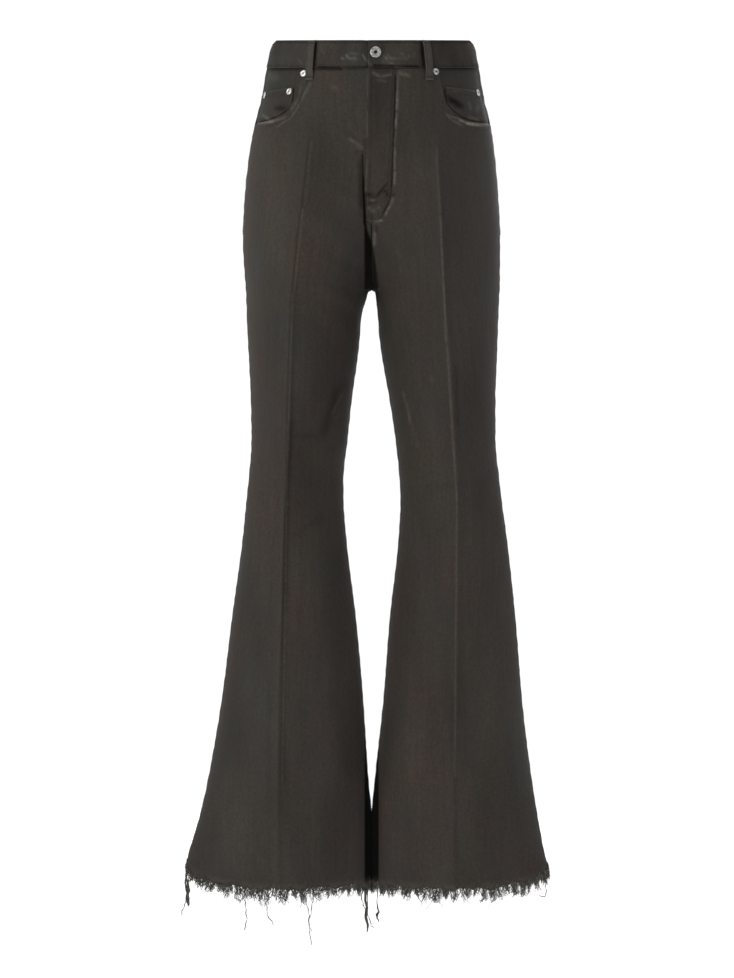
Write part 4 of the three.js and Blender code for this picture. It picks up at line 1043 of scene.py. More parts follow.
# %% Placket
FLY_TOP_X, FLY_LOW_X, FLY_TIP_X = 34, 27, -8
FLY_TOP_Z, FLY_CURVE_Z, FLY_BOTTOM_Z = -25, -196, -243


def fly_right(z):
    straight = mix(FLY_TOP_X, FLY_LOW_X, (z - FLY_TOP_Z) / (FLY_CURVE_Z - FLY_TOP_Z))
    s = np.clip((FLY_CURVE_Z - z) / (FLY_CURVE_Z - FLY_BOTTOM_Z), 0, 1)
    bent = FLY_TIP_X + (FLY_LOW_X - FLY_TIP_X) * np.sqrt(np.maximum(1 - s * s, 0.004))
    return np.where(z > FLY_CURVE_Z, straight, bent)


levels = np.concatenate([np.linspace(0, 1, 72)[:-1], 1 + np.sin(np.linspace(0, 1, 20) * math.pi / 2)])
u = spread((0, 0.08, 5), (0.08, 0.86, 14), (0.86, 1, 7))
z = np.where(levels <= 1, mix(-34.4, FLY_CURVE_Z, levels), mix(FLY_CURVE_Z, FLY_BOTTOM_Z, levels - 1))
z = np.broadcast_to(z[:, None], (len(levels), len(u)))
x = mix(column(FLY_EDGE, "x", z), fly_right(z), u[None, :])
width = fly_right(z) - column(FLY_EDGE, "x", z)
from_fold, from_seam = u[None, :] * width, (1 - u[None, :]) * width
lift = 2.1 - 0.9 * fade(from_fold, 0, 1.6) - 1.7 * fade(from_seam, 0, 2.4)
lift = lift - 0.3 * bell(from_seam, 3.2, 1.0) + 0.3 * bell(from_seam, 6, 1.8)
lift = lift + 0.3 * np.sin(z / 3.4 + np.sin(z / 13)) * fade(from_seam, 6, 12)
lift = lift + 0.9 * bell(z + 0.25 * (x - 10), -199, 3.2) * ramp(from_seam, 1, 5)
lift = lift - 0.7 * bell(z, -207, 4)
at = cloth_at(-1, x, z)
at[..., 1] -= lift
at[..., 0] = x
across, up = seen_points(at)
# The placket a little darker overall, with the painted shade of the dark lines on it
tone = 0.06 * waves(across * 2, up, 4) - 0.14 - rubbed(PAINTED_SHADE_FRONT, across, up)
fly = sheet("fly_cloth", at, main_denim, PATCH_THICK, rubbed(RUBBED_FRONT, across, up), None, tone)
fit(fly, "fly_placket", slot="waxed_denim")
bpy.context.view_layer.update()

# %% [markdown]
# ## Back pockets
# Two plain patch pockets with a pointed foot sit on the seat. Nothing of them shows in the
# photograph, so they are finished plainly: a turned hem, two rows of stitches, no decoration.


# %% Back pockets
BACK_POCKET_HALF, BACK_POCKET_TALL = 105, 125


def back_pocket_place(v, u):
    """v runs down from the top hem, u from the outer edge (0) to the inner one (1)."""
    t = mix(mix(0.19, 0.235, v), mix(0.955, 0.925, v), u)
    return t, -98 - mix(140.0, 122.0, np.abs(2 * u - 1)) * v


for leg in (1, -1):
    v = spread((0, 0.1, 8), (0.1, 0.94, 34), (0.94, 1, 5))[:, None]
    u = spread((0, 0.03, 4), (0.03, 0.97, 36), (0.97, 1, 4))[None, :]
    t, z = back_pocket_place(v, u)
    x = section(leg, 1, t, z)[0]
    down = v * BACK_POCKET_TALL
    edge = np.minimum(np.minimum(u, 1 - u) * BACK_POCKET_HALF, (1 - v) * BACK_POCKET_TALL)
    lift = 2.2 - 0.6 * fade(edge, 0, 1.4) + 0.3 * fade(down, 13, 15) - 0.5 * fade(down, 0, 1.2)
    lift = lift + 1.2 * np.sin(u * math.pi) * np.sin(np.clip(v * 1.15, 0, 1) * math.pi) ** 0.7
    rub = np.maximum(0.5 * fade(edge, 0.5, 3), 0.6 * fade(down, 0.5, 3.5))
    piece = sheet(
        f"back_pocket_cloth_{SIDE[leg]}", cloth(leg, 1, t, z, lift), pocket_denim, PATCH_THICK,
        rub, None, toned(leg, 1, leg * x, z),
    )
    fit(piece, f"back_pocket_{SIDE[leg]}", slot="pocket_denim", face=1)

# %% [markdown]
# ## Waistband
# One long strip, folded double, goes right round. Its left end laps over its right end under
# the button. It is drawn along the waist in steps, and its two edges are rounded with a bevel,
# as a folded edge is.


# %% Path of the band
UNDER_STEPS, BLEND_STEPS = 10, 8  # steps that the lap hides


def band_stations():
    """Leg, face and t of each step along the band, and how far it lies under the lap."""
    low, high = 3, 3 + LAP_BLEND
    hidden = np.linspace(UNDERLAP_X, low, UNDER_STEPS)
    stations = [(1, -1, float(t_at(1, -1, x, 0)), 1.0) for x in hidden]
    for x in np.linspace(low, high, BLEND_STEPS):
        stations.append((-1, -1, float(t_at(-1, -1, x, 0)), float(fade(x, low, high))))
    start = float(t_at(-1, -1, high + 2, 0))
    stations += [(-1, -1, t, 0.0) for t in np.linspace(start, 0, 62)]
    stations += [(-1, 1, t, 0.0) for t in np.linspace(0, 1, 76)[1:]]
    stations += [(1, 1, t, 0.0) for t in np.linspace(1, 0, 76)[1:]]
    stations += [(1, -1, t, 0.0) for t in np.linspace(0, float(t_at(1, -1, 2, 0)), 68)[1:]]
    stations += [(-1, -1, float(t_at(-1, -1, x, 0)), 0.0) for x in (0.8, 2, 3.4, -LAP_END_X)]
    return stations


def wide_at_side(leg):
    return float(section(leg, -1, 0.0, 0.0)[0])


def band_points(stations, v, lift):
    """v is the share of the band's height at each row, lift is rows x stations."""
    legs, faces, ts, under = np.array(stations, float).T
    grid = np.zeros((len(v), len(stations), 3))
    for leg in (1, -1):
        for face in (-1, 1):
            pick = (legs == leg) & (faces == face)
            t = ts[pick]
            y = section(leg, face, t, waist_z(leg, face, t) + BAND_GAP)[1]
            z = WAIST_LEAN * y[None, :] + mix(-BAND_HEIGHT / 2, BAND_HEIGHT / 2, v[:, None])
            wide = section(leg, face, t, np.zeros(t.shape))[0]
            turned = ramp(wide, wide_at_side(leg) - 9, wide_at_side(leg))
            z = z - SIDE_DIP * turned[None, :] * v[:, None] ** 1.5
            out = BAND_PROUD - under[pick] * (BAND_THICK + LAYER_GAP) + lift[:, pick]
            out = out - 2.2 * turned[None, :] * ramp(v[:, None], 0.6, 1.05)
            at = cloth(leg, face, t[None, :], np.minimum(z, TABLE_TOP), out, plain=True)
            at[..., 2] = z
            grid[:, pick] = at
    return grid


stations = band_stations()
v = spread((0, 0.16, 8), (0.16, 0.86, 9), (0.86, 1, 7))[::-1]
base = band_points(stations, np.array([0.5]), np.zeros((1, len(stations))))[0]
run = np.concatenate([[0], np.cumsum(np.linalg.norm(np.diff(base, axis=0), axis=1))])
height = v[:, None] * BAND_HEIGHT
pucker = 0.26 * np.sin(run / 2.3 + 1.7 * np.sin(run / 11)) * fade(height, 4, 13)
pucker = pucker + 0.18 * np.sin(run / 3.1 + 2 * np.sin(run / 17)) * ramp(height, 27, 35)
swell = 0.5 * np.sin(run / 37 + height / 14) + 0.35 * np.sin(run / 17 - height / 9)
rows_of_thread = -0.35 * (bell(height, 3, 0.9) + bell(height, 35, 0.9))
lift = pucker + swell * np.sin(v[:, None] * math.pi) + rows_of_thread
band = band_points(stations, v, lift)
BAND_RUBS = (
    (-42, -6.4, -28.7, 0.2, 1.1, 0.75), (-28.7, 0.2, -13, -1, 1.0, 0.6), (-13, -1, -7.5, -9, 1.0, 0.62),
    (-34, -6.4, -21, -6.4, 1.0, 0.55), (-36, -3, -24, -9, 1.0, 0.45), (-6, -9, -1, -16, 1.1, 0.5),
    (13.7, -1, 21.6, -7.7, 1.0, 0.5), (21.6, -7.7, 29.5, -6.4, 1.1, 0.6),
    (29.5, -6.4, 45.5, -7.7, 1.0, 0.42), (45.5, -7.7, 52, -2.4, 1.0, 0.5),
    (15, -10.3, 29.5, -13, 1.0, 0.4), (19, 0, 27, -5, 0.9, 0.36), (36, 3, 44, 0, 1.2, 0.25),
    (56, -5, 61, 2, 1.1, 0.22), (-104, -6, -96, -14, 1.1, 0.2), (-71, 8, -66, 2, 0.9, 0.18),
)
# Dark marks on the band: painted shadows beside the front loops and along its lower edge, and three
# soft dark patches
BAND_SHADE_MARKS = (
    (-77.5, 16, -79.5, -18, 1.8, 0.8), (68, 16, 71, -18, 1.5, 0.72), (81, 18, 85, -18, 1.4, 0.35),
    (2, -15.8, 32, -16.4, 1.9, 0.75), (30, -16.2, 66, -17.2, 1.6, 0.66),
    (-76, -18.6, -42, -18.8, 1.3, 0.7), (-40, -17.8, -6, -18, 1.1, 0.45), (-62, 12, -58, -8, 3, 0.14),
    (14, 15, 18, 5, 4, 0.16), (96, 14, 104, -12, 7, 0.14),
)
front_side = band[..., 1] < 0
across, up = seen_points(band)
rub = np.where(front_side, rubbed(BAND_RUBS, across, up), 0)
rub = np.maximum(rub, 0.2 * fade(BAND_HEIGHT - height, 0.2, 1.6))
# Mottled tone, darker from x 58 mm towards the wearer's left side, the dark marks, and painted shade in
# the two stitched grooves by the edges
tone = 0.05 * waves(run * 1.4, height * 2, 2) + 0.07 * waves(run * 3.1, height * 3.4, 9)
tone = tone - 0.22 * ramp(across, 58, 84)
tone = tone - np.where(front_side, rubbed(BAND_SHADE_MARKS, across, up), 0)
tone = tone - 0.4 * bell(height, 35.2, 1.1) - 0.3 * bell(height, 2.6, 1.0)
waistband = sheet("waistband_cloth", band, band_denim, BAND_THICK, rub, None, tone, bevel=0.7)
face_outwards(waistband, lambda centres: centres * np.array([1, 1, 0]))
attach(waistband, "root")
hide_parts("waistband")
print("waistband length", round(run[-1] * MM, 3))

# %% [markdown]
# ## Belt loops
# Five loops bridge the waistband. Each is a narrow folded strip, sewn flat below the seam,
# standing off the band and turned in at its top. Their edges rub pale first.


# %% Belt loops
LOOPS = (
    ("front_left", -1, 72.4, 78), ("front_right", -1, -79.7, -84.4), ("back_left", 1, 84, 86),
    ("back_right", 1, -84, -86), ("centre_back", 1, 0, 0),
)
LOOP_WIDTH, LOOP_THICK = 11, 1.7
LOOP_COLUMNS = (-1, -0.86, -0.66, -0.3, 0, 0.3, 0.66, 0.86, 1)
LOOP_RUB = (0.5, 0.35, 0.05, 0.12, 0.15, 0.12, 0.05, 0.35, 0.5)
LOOP_STAND = 3.2  # how far it stands off the waistband
LOOP_FOOT = 17  # how far a loop goes on below the waistband


def loop_points(face, x_top, x_low, shares, out):
    leg = -1 if x_top < 0 else 1
    y = float(cloth_at(face, leg * max(abs(x_top), 0.2), -5.0, 0, True)[1])
    low, high = -BAND_HEIGHT / 2 + WAIST_LEAN * y, BAND_HEIGHT / 2 + WAIST_LEAN * y
    bridge = BAND_PROUD + LOOP_STAND
    stops = (
        ("z", "stand"),
        (low - LOOP_FOOT, LAYER_GAP), (low - 10, LAYER_GAP), (low - 2, bridge),
        ((low + high) / 2, bridge + 0.4), (high - 6, bridge), (high - 3, BAND_PROUD + 1.6),
        (high - 0.4, BAND_PROUD + LAYER_GAP),
    )
    z = mix(low - LOOP_FOOT, high - 0.4, 1 - shares)
    stand = column(stops, "stand", z)
    x = mix(x_top, x_low, np.clip((high - z) / (high - low + LOOP_FOOT), 0, 1))
    x = leg * np.maximum(np.abs(x), 0.2)
    held = np.minimum(z, TABLE_TOP)
    t = t_at(leg, face, x, held)
    nx, ny = outward(leg, face, t, held)
    base = cloth(leg, face, t, held, 0, True)
    if x_top == 0:
        nx, ny, base[..., 0] = nx * 0, ny * 0 + face, 0
    side = np.array(LOOP_COLUMNS)[None, :] * LOOP_WIDTH / 2
    ridge = 0.25 * bell(np.abs(side), 4.4, 0.8) + 0.2 * np.cos(side / 1.6)
    reach = stand[:, None] + out + ridge
    across_x, across_y = -ny[:, None], (leg * nx)[:, None]
    px = base[:, None, 0] + (leg * nx)[:, None] * reach + across_x * side
    py = base[:, None, 1] + ny[:, None] * reach + across_y * side
    return np.stack([px, py, np.broadcast_to(z[:, None], px.shape)], axis=-1)


for name, face, x_top, x_low in LOOPS:
    shares = np.linspace(0, 1, 40)
    points = loop_points(face, x_top, x_low, shares, LOOP_THICK)
    ends = bell(shares, 0.02, 0.03) + bell(shares, 0.97, 0.02)
    rub = np.maximum(0.8 * np.array(LOOP_RUB)[None, :], 0.3 * ends[:, None])
    loop = sheet(f"loop_{name}", points, loop_denim, LOOP_THICK, rub, None, 0.05, bevel=0.5)
    fit(loop, f"belt_loop_{name}", slot="band_denim", face=face)
print("loops", len(LOOPS))

# %% [markdown]
# ## Metal
# The button is a turned donut of metal with a hollow middle, and the rivets are small caps. A
# lathe makes them, so here a profile is drawn as a line of edges and spun round its axis with
# bmesh. Fine scratches and a patchy film come from the material. The button and one of the
# rivets get a darker metal than the others, and the middles are near-black, painted shade in
# their hollows.


# %% Spun metal
def spun(name, profile, steps, seat, normal, material, hollow):
    """The profile, as radius and height, spun round and set down on the cloth."""
    bm = bmesh.new()
    line = [bm.verts.new((r * MM, 0, h * MM)) for r, h in profile]
    edges = [bm.edges.new(pair) for pair in zip(line[:-1], line[1:])]
    bmesh.ops.spin(
        bm, geom=line + edges, cent=(0, 0, 0), axis=(0, 0, 1), angle=2 * math.pi, steps=steps,
        use_merge=True,
    )
    bmesh.ops.remove_doubles(bm, verts=bm.verts, dist=1e-6)
    bmesh.ops.recalc_face_normals(bm, faces=bm.faces)
    # The faces in the middle take the near-black finish, painted shade in the hollow
    for face in bm.faces:
        middle = face.calc_center_median()
        if math.hypot(middle.x, middle.y) < hollow * MM and middle.z > 0.1 * MM:
            face.material_index = 1
    turn = Vector((0, 0, 1)).rotation_difference(Vector(normal)).to_matrix().to_4x4()
    bmesh.ops.transform(bm, matrix=Matrix.Translation(Vector(seat) * MM) @ turn, verts=bm.verts)
    mesh = mesh_of(bm, name)
    smooth(mesh, material, hollow_shade_finish)
    return placed(name, mesh)


def front_normal(x, z):
    step = 3.0
    a, b = cloth_at(-1, [x - step, x + step], [z, z], 0, True)
    c, d = cloth_at(-1, [x, x], [z - step, z + step], 0, True)
    normal = np.cross(d - c, b - a)
    return unit(normal * -np.sign(normal[1]))


# %% Metal finish
def metal(name, clean, filmed):
    material, tree, shader, place = new_finish(name)
    film = range_node(tree, noise_node(tree, place, 420, 5, 0.65), 0.35, 0.65)
    scratches = noise_node(tree, place, 900, 4, 0.6, (1, 1, 6))
    settle(shader, {
        "Base Color": colour_mix(tree, film, clean, filmed), "Metallic": 1.0,
        "Roughness": range_node(tree, scratches, 0.3, 0.7, 0.24, 0.44),
        "Normal": bumped(tree, film, 0.4, 0.2),
    })
    return material


silver = metal("pale silver metal", (0.86, 0.86, 0.84), (0.5, 0.49, 0.47))
dull_silver = metal("dull silver metal", (0.58, 0.575, 0.555), (0.23, 0.225, 0.21))

# %% Painted shade of the hollows in the middle: a near-black metal
hollow_shade_finish, tree, shader, place = new_finish("shadowed hollow")
film = range_node(tree, noise_node(tree, place, 700, 4, 0.6), 0.35, 0.7)
settle(shader, {
    "Base Color": colour_mix(tree, film, (0.02, 0.018, 0.016), (0.07, 0.065, 0.06)),
    "Roughness": range_node(tree, film, 0, 1, 0.5, 0.75), "Metallic": 0.6,
})

# %% Button
BUTTON_PROFILE = (
    (0, 0), (5.6, 0), (6.9, 0.5), (7.5, 1.3), (7.8, 2.3), (7.7, 2.9), (7.2, 3.6), (6.4, 4.05),
    (5.5, 4.2), (4.6, 4.05), (4.1, 3.75), (3.7, 3.8), (3.2, 3.9), (2.7, 3.7), (2.35, 3.1), (2.15, 2.0),
    (2.1, 1.3), (1.2, 1.2), (0, 1.2),
)
BUTTON_X, BUTTON_Z = 5.0, -12.5
seat = cloth_at(-1, BUTTON_X, BUTTON_Z, BAND_PROUD + LAYER_GAP, True)
normal = front_normal(BUTTON_X, BUTTON_Z)
button = spun("metal_button", BUTTON_PROFILE, 64, seat, normal, dull_silver, 2.0)
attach(button, "root")
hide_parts("waist_button")

# %% Rivets
RIVET_PROUD = 0.5
RIVET_PROFILE = (
    (0, 0), (4.3, 0), (4.7, 0.25), (4.72, 0.6), (4.4, 1.15), (3.7, 1.5), (3.0, 1.6), (2.4, 1.45),
    (1.9, 1.1), (1.45, 1.0), (1.15, 1.3), (0.8, 1.5), (0.4, 1.56), (0, 1.58),
)
RIVETS = (
    ("scoop_left", 86.6, -36, 0), ("scoop_right", -92.6, -38, 0), ("coin_outer_left", 146, -58.5, 1),
    ("coin_inner_right", -112.6, -61.5, 1), ("coin_outer_right", -147.5, -60.5, 1),
)
for name, x, z, on_coin in RIVETS:
    finish = dull_silver if name == "scoop_left" else silver
    out = (ON_FACING if on_coin else 0) + RIVET_PROUD
    seat = cloth_at(-1, float(x), float(z), out, True)
    rivet = spun(f"cap_{name}", RIVET_PROFILE, 40, seat, front_normal(x, z), finish, 1.0)
    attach(rivet, "root")
    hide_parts(f"rivet_{name}")
print("metal", 1 + len(RIVETS))

# %% [markdown]
# ## Stitches
# Every seam is topstitched in thread of the cloth's own colour. One stitch is a small
# stretched ball. It is copied along each row, turned along the row and along the cloth, and
# all the copies of an area become one mesh, which is far lighter than an object for each.

# %% One stitch and the maker of rows
def points_and_faces(bm):
    bm.verts.index_update()
    points = np.array([v.co[:] for v in bm.verts])
    faces = np.array([[v.index for v in f.verts] for f in bm.faces])
    bm.free()
    return points, faces


def along_line(values, run, at):
    return np.stack([np.interp(at, run, values[:, k]) for k in range(3)], axis=1)


bm = bmesh.new()
bmesh.ops.create_uvsphere(bm, u_segments=5, v_segments=4, radius=1.0)
bmesh.ops.rotate(bm, verts=bm.verts, cent=(0, 0, 0), matrix=Matrix.Rotation(math.pi / 2, 3, "Y"))
bmesh.ops.triangulate(bm, faces=bm.faces)
STITCH_POINTS, STITCH_FACES = points_and_faces(bm)
stitches = {"front": [], "back": [], "legs": []}


def stitch_row(area, points, normals, pitch=3.4, length=2.5, wide=0.72, high=0.42):
    """Copies stitches along a line of points in millimetres, each lying on the cloth."""
    steps = np.linalg.norm(np.diff(points, axis=0), axis=1)
    run = np.concatenate([[0], np.cumsum(steps)])
    count = max(2, int(run[-1] / pitch))
    at = (np.arange(count) + 0.5) * run[-1] / count
    copies = along_line(points, run, at)[:, None, :]
    ahead, behind = np.minimum(at + 1, run[-1]), np.maximum(at - 1, 0)
    along = unit(along_line(points, run, ahead) - along_line(points, run, behind))
    normal = unit(along_line(normals, run, at))
    ways = ((along, length / 2), (np.cross(normal, along), wide / 2), (normal, high))
    for k, (way, size) in enumerate(ways):
        copies = copies + STITCH_POINTS[None, :, k:k + 1] * way[:, None, :] * size
    stitches[area].append(copies)


def row_on(area, face, x, z, out=0.15, **sizes):
    """A row given by signed x and z on the front or the back."""
    x, z = paired(x, z)
    points = cloth_at(face, x, z, out)
    stitch_row(area, points, cloth_at(face, x, z, out + 2.0) - points, **sizes)


def row_by_t(area, leg, face, t, z, out=0.15, **sizes):
    t, z = paired(t, z)
    points = cloth(leg, face, t, z, out)
    stitch_row(area, points, cloth(leg, face, t, z, out + 2.0) - points, **sizes)


# %% Rows of the front: pocket mouths, coin pockets and fly
def beside(line, offset):
    """The line moved sideways in its own plane, by millimetres."""
    line = np.asarray(line, float)
    ahead = unit(np.gradient(line, axis=0))
    return line + offset * np.stack([ahead[:, 1], -ahead[:, 0]], axis=1)


for leg in (1, -1):
    for offset in (2.2, 8.4):
        line = beside(SCOOP_LINES[leg][2:], offset)
        line = line[(line[:, 0] < 159) & (line[:, 1] > -108)]
        row_on("front", -1, leg * line[:, 0], line[:, 1], 0.45)
    outer_x, inner_x = (section(leg, -1, t, -58.0)[0] for t in (0.15, COIN_INNER[leg]))
    top = np.linspace(outer_x, inner_x + 1, 30)
    for drop in (1.6, 7.6):
        row_on("front", -1, leg * top, COIN_TOP - drop, -0.55)

bend = np.sin(np.linspace(0.05, 1, 22) * math.pi / 2)
fly_z = np.concatenate([np.linspace(-36, FLY_CURVE_Z, 40), mix(FLY_CURVE_Z, FLY_BOTTOM_Z + 4, bend)])
for inset in (3.4, 8.6):
    fly_x = fly_right(fly_z) - inset
    keep = fly_x > -6
    low = np.maximum(fly_z[keep], FLY_BOTTOM_Z + inset * 0.8)
    row_on("front", -1, fly_x[keep], low, 2.15)
row_on("front", -1, np.linspace(-3, -9, 40) + 2.2, np.linspace(-38, -232, 40), 2.2)
for offset in (2, 7):
    row_on("front", -1, np.full(30, float(offset)), np.linspace(-246, -318, 30))
print("front rows", len(stitches["front"]))

# %% Rows of the waistband, its lapped end, and the loops
shown = stations[UNDER_STEPS + BLEND_STEPS:]
for share in (0.075, 0.925):
    line, lifted = (
        band_points(shown, np.array([share]), np.full((1, len(shown)), out))[0] for out in (-0.1, 2.0)
    )
    stitch_row("front", line, lifted - line)
ends = np.linspace(0.06, 0.94, 12)
line = band_points(stations[-2:-1], ends, np.full((12, 1), 0.25))[:, 0]
stitch_row("front", line, np.tile([0.0, -1, 0], (12, 1)))
for name, face, x_top, x_low in LOOPS:
    points = loop_points(face, x_top, x_low, np.linspace(0.03, 0.97, 24), 1.95)
    normals = np.tile([0.0, face, 0], (24, 1))
    for k in (1, -2):
        stitch_row(WAY[face], points[:, k], normals, pitch=3.0, length=2.2)
    for row in (1, 22):
        for shift in (-0.4, 0.4):
            bar = points[row] + [0, 0, shift]
            stitch_row(WAY[face], bar, normals[:len(bar)], pitch=0.9, length=1.2, high=0.5)
print("rows", {area: len(rows) for area, rows in stitches.items()})

# %% Rows of the back: yoke, centre seam and patch pockets
for leg in (1, -1):
    t = np.linspace(0.01, 0.985, 60)
    for drop in (2.4, 8.4):
        row_by_t("back", leg, 1, t, yoke_z(leg, t) - drop, 0.6)
    v = np.linspace(0.02, 1, 40)
    for inset in (0.018, 0.075):
        ends = np.full(39, inset), np.full(39, 1 - inset)
        path_u = np.concatenate([ends[0], np.linspace(inset, 1 - inset, 39), ends[1]])
        path_v = np.minimum(np.concatenate([v[:-1], np.ones(39), v[::-1][1:]]), 1 - inset * 0.85)
        t, z = back_pocket_place(path_v, path_u)
        row_by_t("back", leg, 1, t, z, 2.35)
    for down in (0.018, 0.1):
        t, z = back_pocket_place(np.full(30, down), np.linspace(0.02, 0.98, 30))
        row_by_t("back", leg, 1, t, z, 2.5)
for offset in (2.2, 8.4):
    row_on("back", 1, np.full(60, float(offset)), np.linspace(-84, -318, 60))
print("back rows", len(stitches["back"]))

# %% Rows down the legs: inner seams, and the top of each side seam
for leg in (1, -1):
    depth = 70 * math.pi
    for inset in (2.4, 7.6):
        z = np.linspace(-345, -1130, 200)
        row_by_t("legs", leg, 1, 1 - inset / depth, drooped(leg, z, 1.0), 0.25)
    z = np.linspace(-112, -250, 40)
    row_by_t("legs", leg, 1, 2.6 / (120 * math.pi), z, 0.25)

# %% Bartacks: short dense bars where a seam is strained
BARTACKS = (
    # x, face, z, and 1 where it stands upright
    (-1, -1, -196, 0), (-3, -1, -237, 0), (6, -1, -250, 1), (120, 1, -101, 0), (-120, 1, -101, 0),
    (22, 1, -101, 0), (-22, 1, -101, 0),
)
for x, face, z, upright in BARTACKS:
    span = np.linspace(-4.5, 4.5, 12)
    for shift in (-0.45, 0.45):
        xs, zs = (x + shift, z + span) if upright else (x + span, z + shift)
        out = 2.5 if face > 0 else 2.2
        row_on(WAY[face], face, xs, zs, out, pitch=0.9, length=1.3, high=0.5)

# %% Thread finish, and one mesh for each area
thread, tree, shader, place = new_finish("waxed sewing thread")
patch = range_node(tree, noise_node(tree, place, 45, 4, 0.6), 0.3, 0.7)
twist = range_node(tree, noise_node(tree, place, 1400, 2, 0.5), 0.3, 0.7, 0.75, 1.2)
shade = colour_mix(tree, patch, (0.024, 0.021, 0.0175), (0.05, 0.043, 0.035))
settle(shader, {
    "Base Color": colour_mix(tree, 1.0, shade, twist, "MULTIPLY"),
    "Roughness": range_node(tree, twist, 0.7, 1.2, 0.5, 0.7),
})


def joined(name, copies, faces, material):
    """One mesh out of many copies of a small one: copies is n x points x 3, in millimetres."""
    count, size = copies.shape[:2]
    mesh = bpy.data.meshes.new(name)
    every = (faces[None, :, :] + (np.arange(count) * size)[:, None, None]).reshape(-1, faces.shape[1])
    mesh.from_pydata((copies.reshape(-1, 3) * MM).tolist(), [], every.tolist())
    smooth(mesh, material)
    mesh.update()
    return placed(name, mesh)


sewing = {}
for area, rows in stitches.items():
    sewing[area] = joined(f"stitches_{area}", np.concatenate(rows), STITCH_FACES, thread)
    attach(sewing[area], "root")
    print(area, "stitches", sum(len(r) for r in rows), "faces", len(sewing[area].data.polygons))

# %% [markdown]
# ## Torn hems
# The hems are torn off, not sewn. Short yarns stand out of the edge in tufts, curl and cross,
# and a few long ones hang down. Hair could make them, but it is lost in an export, so each
# yarn is a thin three-sided tube. One straight tube is made by extruding a ring, and every
# copy is bent along its own path.

# %% One yarn
YARN_STEPS = 9
bm = bmesh.new()
ring = bmesh.ops.create_circle(bm, segments=3, radius=1.0)
edges = list({e for v in ring["verts"] for e in v.link_edges})
for step in range(YARN_STEPS):
    made = bmesh.ops.extrude_edge_only(bm, edges=edges)["geom"]
    moved = [g for g in made if isinstance(g, bmesh.types.BMVert)]
    edges = [g for g in made if isinstance(g, bmesh.types.BMEdge)]
    bmesh.ops.translate(bm, verts=moved, vec=(0, 0, -1))
bmesh.ops.holes_fill(bm, edges=[e for e in bm.edges if e.is_boundary], sides=3)
bmesh.ops.triangulate(bm, faces=bm.faces)
bmesh.ops.recalc_face_normals(bm, faces=bm.faces)
YARN_POINTS, YARN_FACES = points_and_faces(bm)
print("yarn", YARN_POINTS.shape, YARN_FACES.shape)


# %% Bending the copies
def yarns(paths, thick):
    """paths is n x steps x 3, thick n x steps: one bent tube for each path."""
    level = np.rint(-YARN_POINTS[:, 2]).astype(int)
    ahead = unit(np.gradient(paths, axis=1))
    first = unit(np.cross(ahead, np.array([0.31, 0.9, 0.31])))
    second = np.cross(ahead, first)
    centre, a, b = paths[:, level], first[:, level], second[:, level]
    size = thick[:, level][..., None]
    return centre + size * (a * YARN_POINTS[None, :, 0:1] + b * YARN_POINTS[None, :, 1:2])


chance = np.random.default_rng(20)


def hem_line(leg, face, t, out=-0.6):
    return cloth(leg, face, t, HEM_Z + hem_drop(leg, t) + torn(leg, face, t), out)


TUFTS, TUFT_REACH = 52, (8, 10, 12, 14, 16, 18.5)


def fringe_paths(leg, face, count):
    """Curly yarns of the torn edge, loosely gathered in tufts of uneven length."""
    t = np.sort(chance.uniform(0, 1, count))
    root = hem_line(leg, face, t, chance.choice([-0.7, 0.15, 0.4], count))
    before, after = np.maximum(t - 0.003, 0), np.minimum(t + 0.003, 1)
    along = unit(hem_line(leg, face, after) - hem_line(leg, face, before))
    nx, ny = outward(leg, face, t, np.full(count, HEM_Z))
    out = np.stack([leg * nx, ny, 0 * nx], axis=1)
    middles = np.cumsum(chance.uniform(0.4, 1.7, TUFTS))
    middles = middles / middles[-1]
    nearest = np.abs(t[:, None] - middles[None, :]).argmin(axis=1)
    reach = chance.choice(TUFT_REACH, TUFTS)[nearest] * (0.6 + 0.62 * bell(t, 0.47, 0.24))
    aside = (middles[nearest] - t) * 300
    length = reach * (1.05 - 0.6 * np.minimum(np.abs(aside) / 4.2, 1) ** 1.5)
    length = np.clip(length + chance.normal(0, 2.4, count), 1.8, 23)
    looped = chance.random(count) < 0.2
    curl = chance.uniform(0.7, 2.4, count) * (0.5 + length / 20)
    turns = chance.uniform(5.0, 11.0, count)
    phase = chance.uniform(0, 2 * math.pi, (2, count))
    swing = chance.normal(0, 0.22, TUFTS)[nearest] + chance.normal(0, 0.34, count)
    s = np.linspace(-0.16, 1, YARN_STEPS + 1)[None, :]
    free = np.maximum(s, 0)
    loose = ramp(s, 0, 0.35)
    down = np.array([0, 0, -1.0])
    waver = np.sin(phase[1][:, None] + s * turns[:, None])
    drop = length[:, None] * (s * 0.9) + 0.5 * curl[:, None] * waver * loose
    back = length[:, None] * 0.85 * np.sin(np.clip(s, -0.5, 1) * 2.7)
    drop = np.where(looped[:, None], back, drop)
    paths = root[:, None, :] + down * drop[..., None]
    sway = (aside * chance.uniform(0.1, 0.75, count))[:, None] * free
    sway = sway + (looped * chance.uniform(-5.5, 5.5, count))[:, None] * free
    sway = sway + (swing * length * 0.7)[:, None] * free ** 1.4
    sway = sway + curl[:, None] * np.sin(phase[0][:, None] + s * turns[:, None]) * loose
    bulge = 0.8 * curl[:, None] * np.cos(phase[1][:, None] + s * 5.2) * free
    bulge = bulge + 0.07 * free * length[:, None]
    paths = paths + along[:, None, :] * sway[..., None] + out[:, None, :] * bulge[..., None]
    thick = chance.choice([0.2, 0.26, 0.32, 0.4, 0.5], count)[:, None] * (1 - 0.35 * free)
    return paths, thick


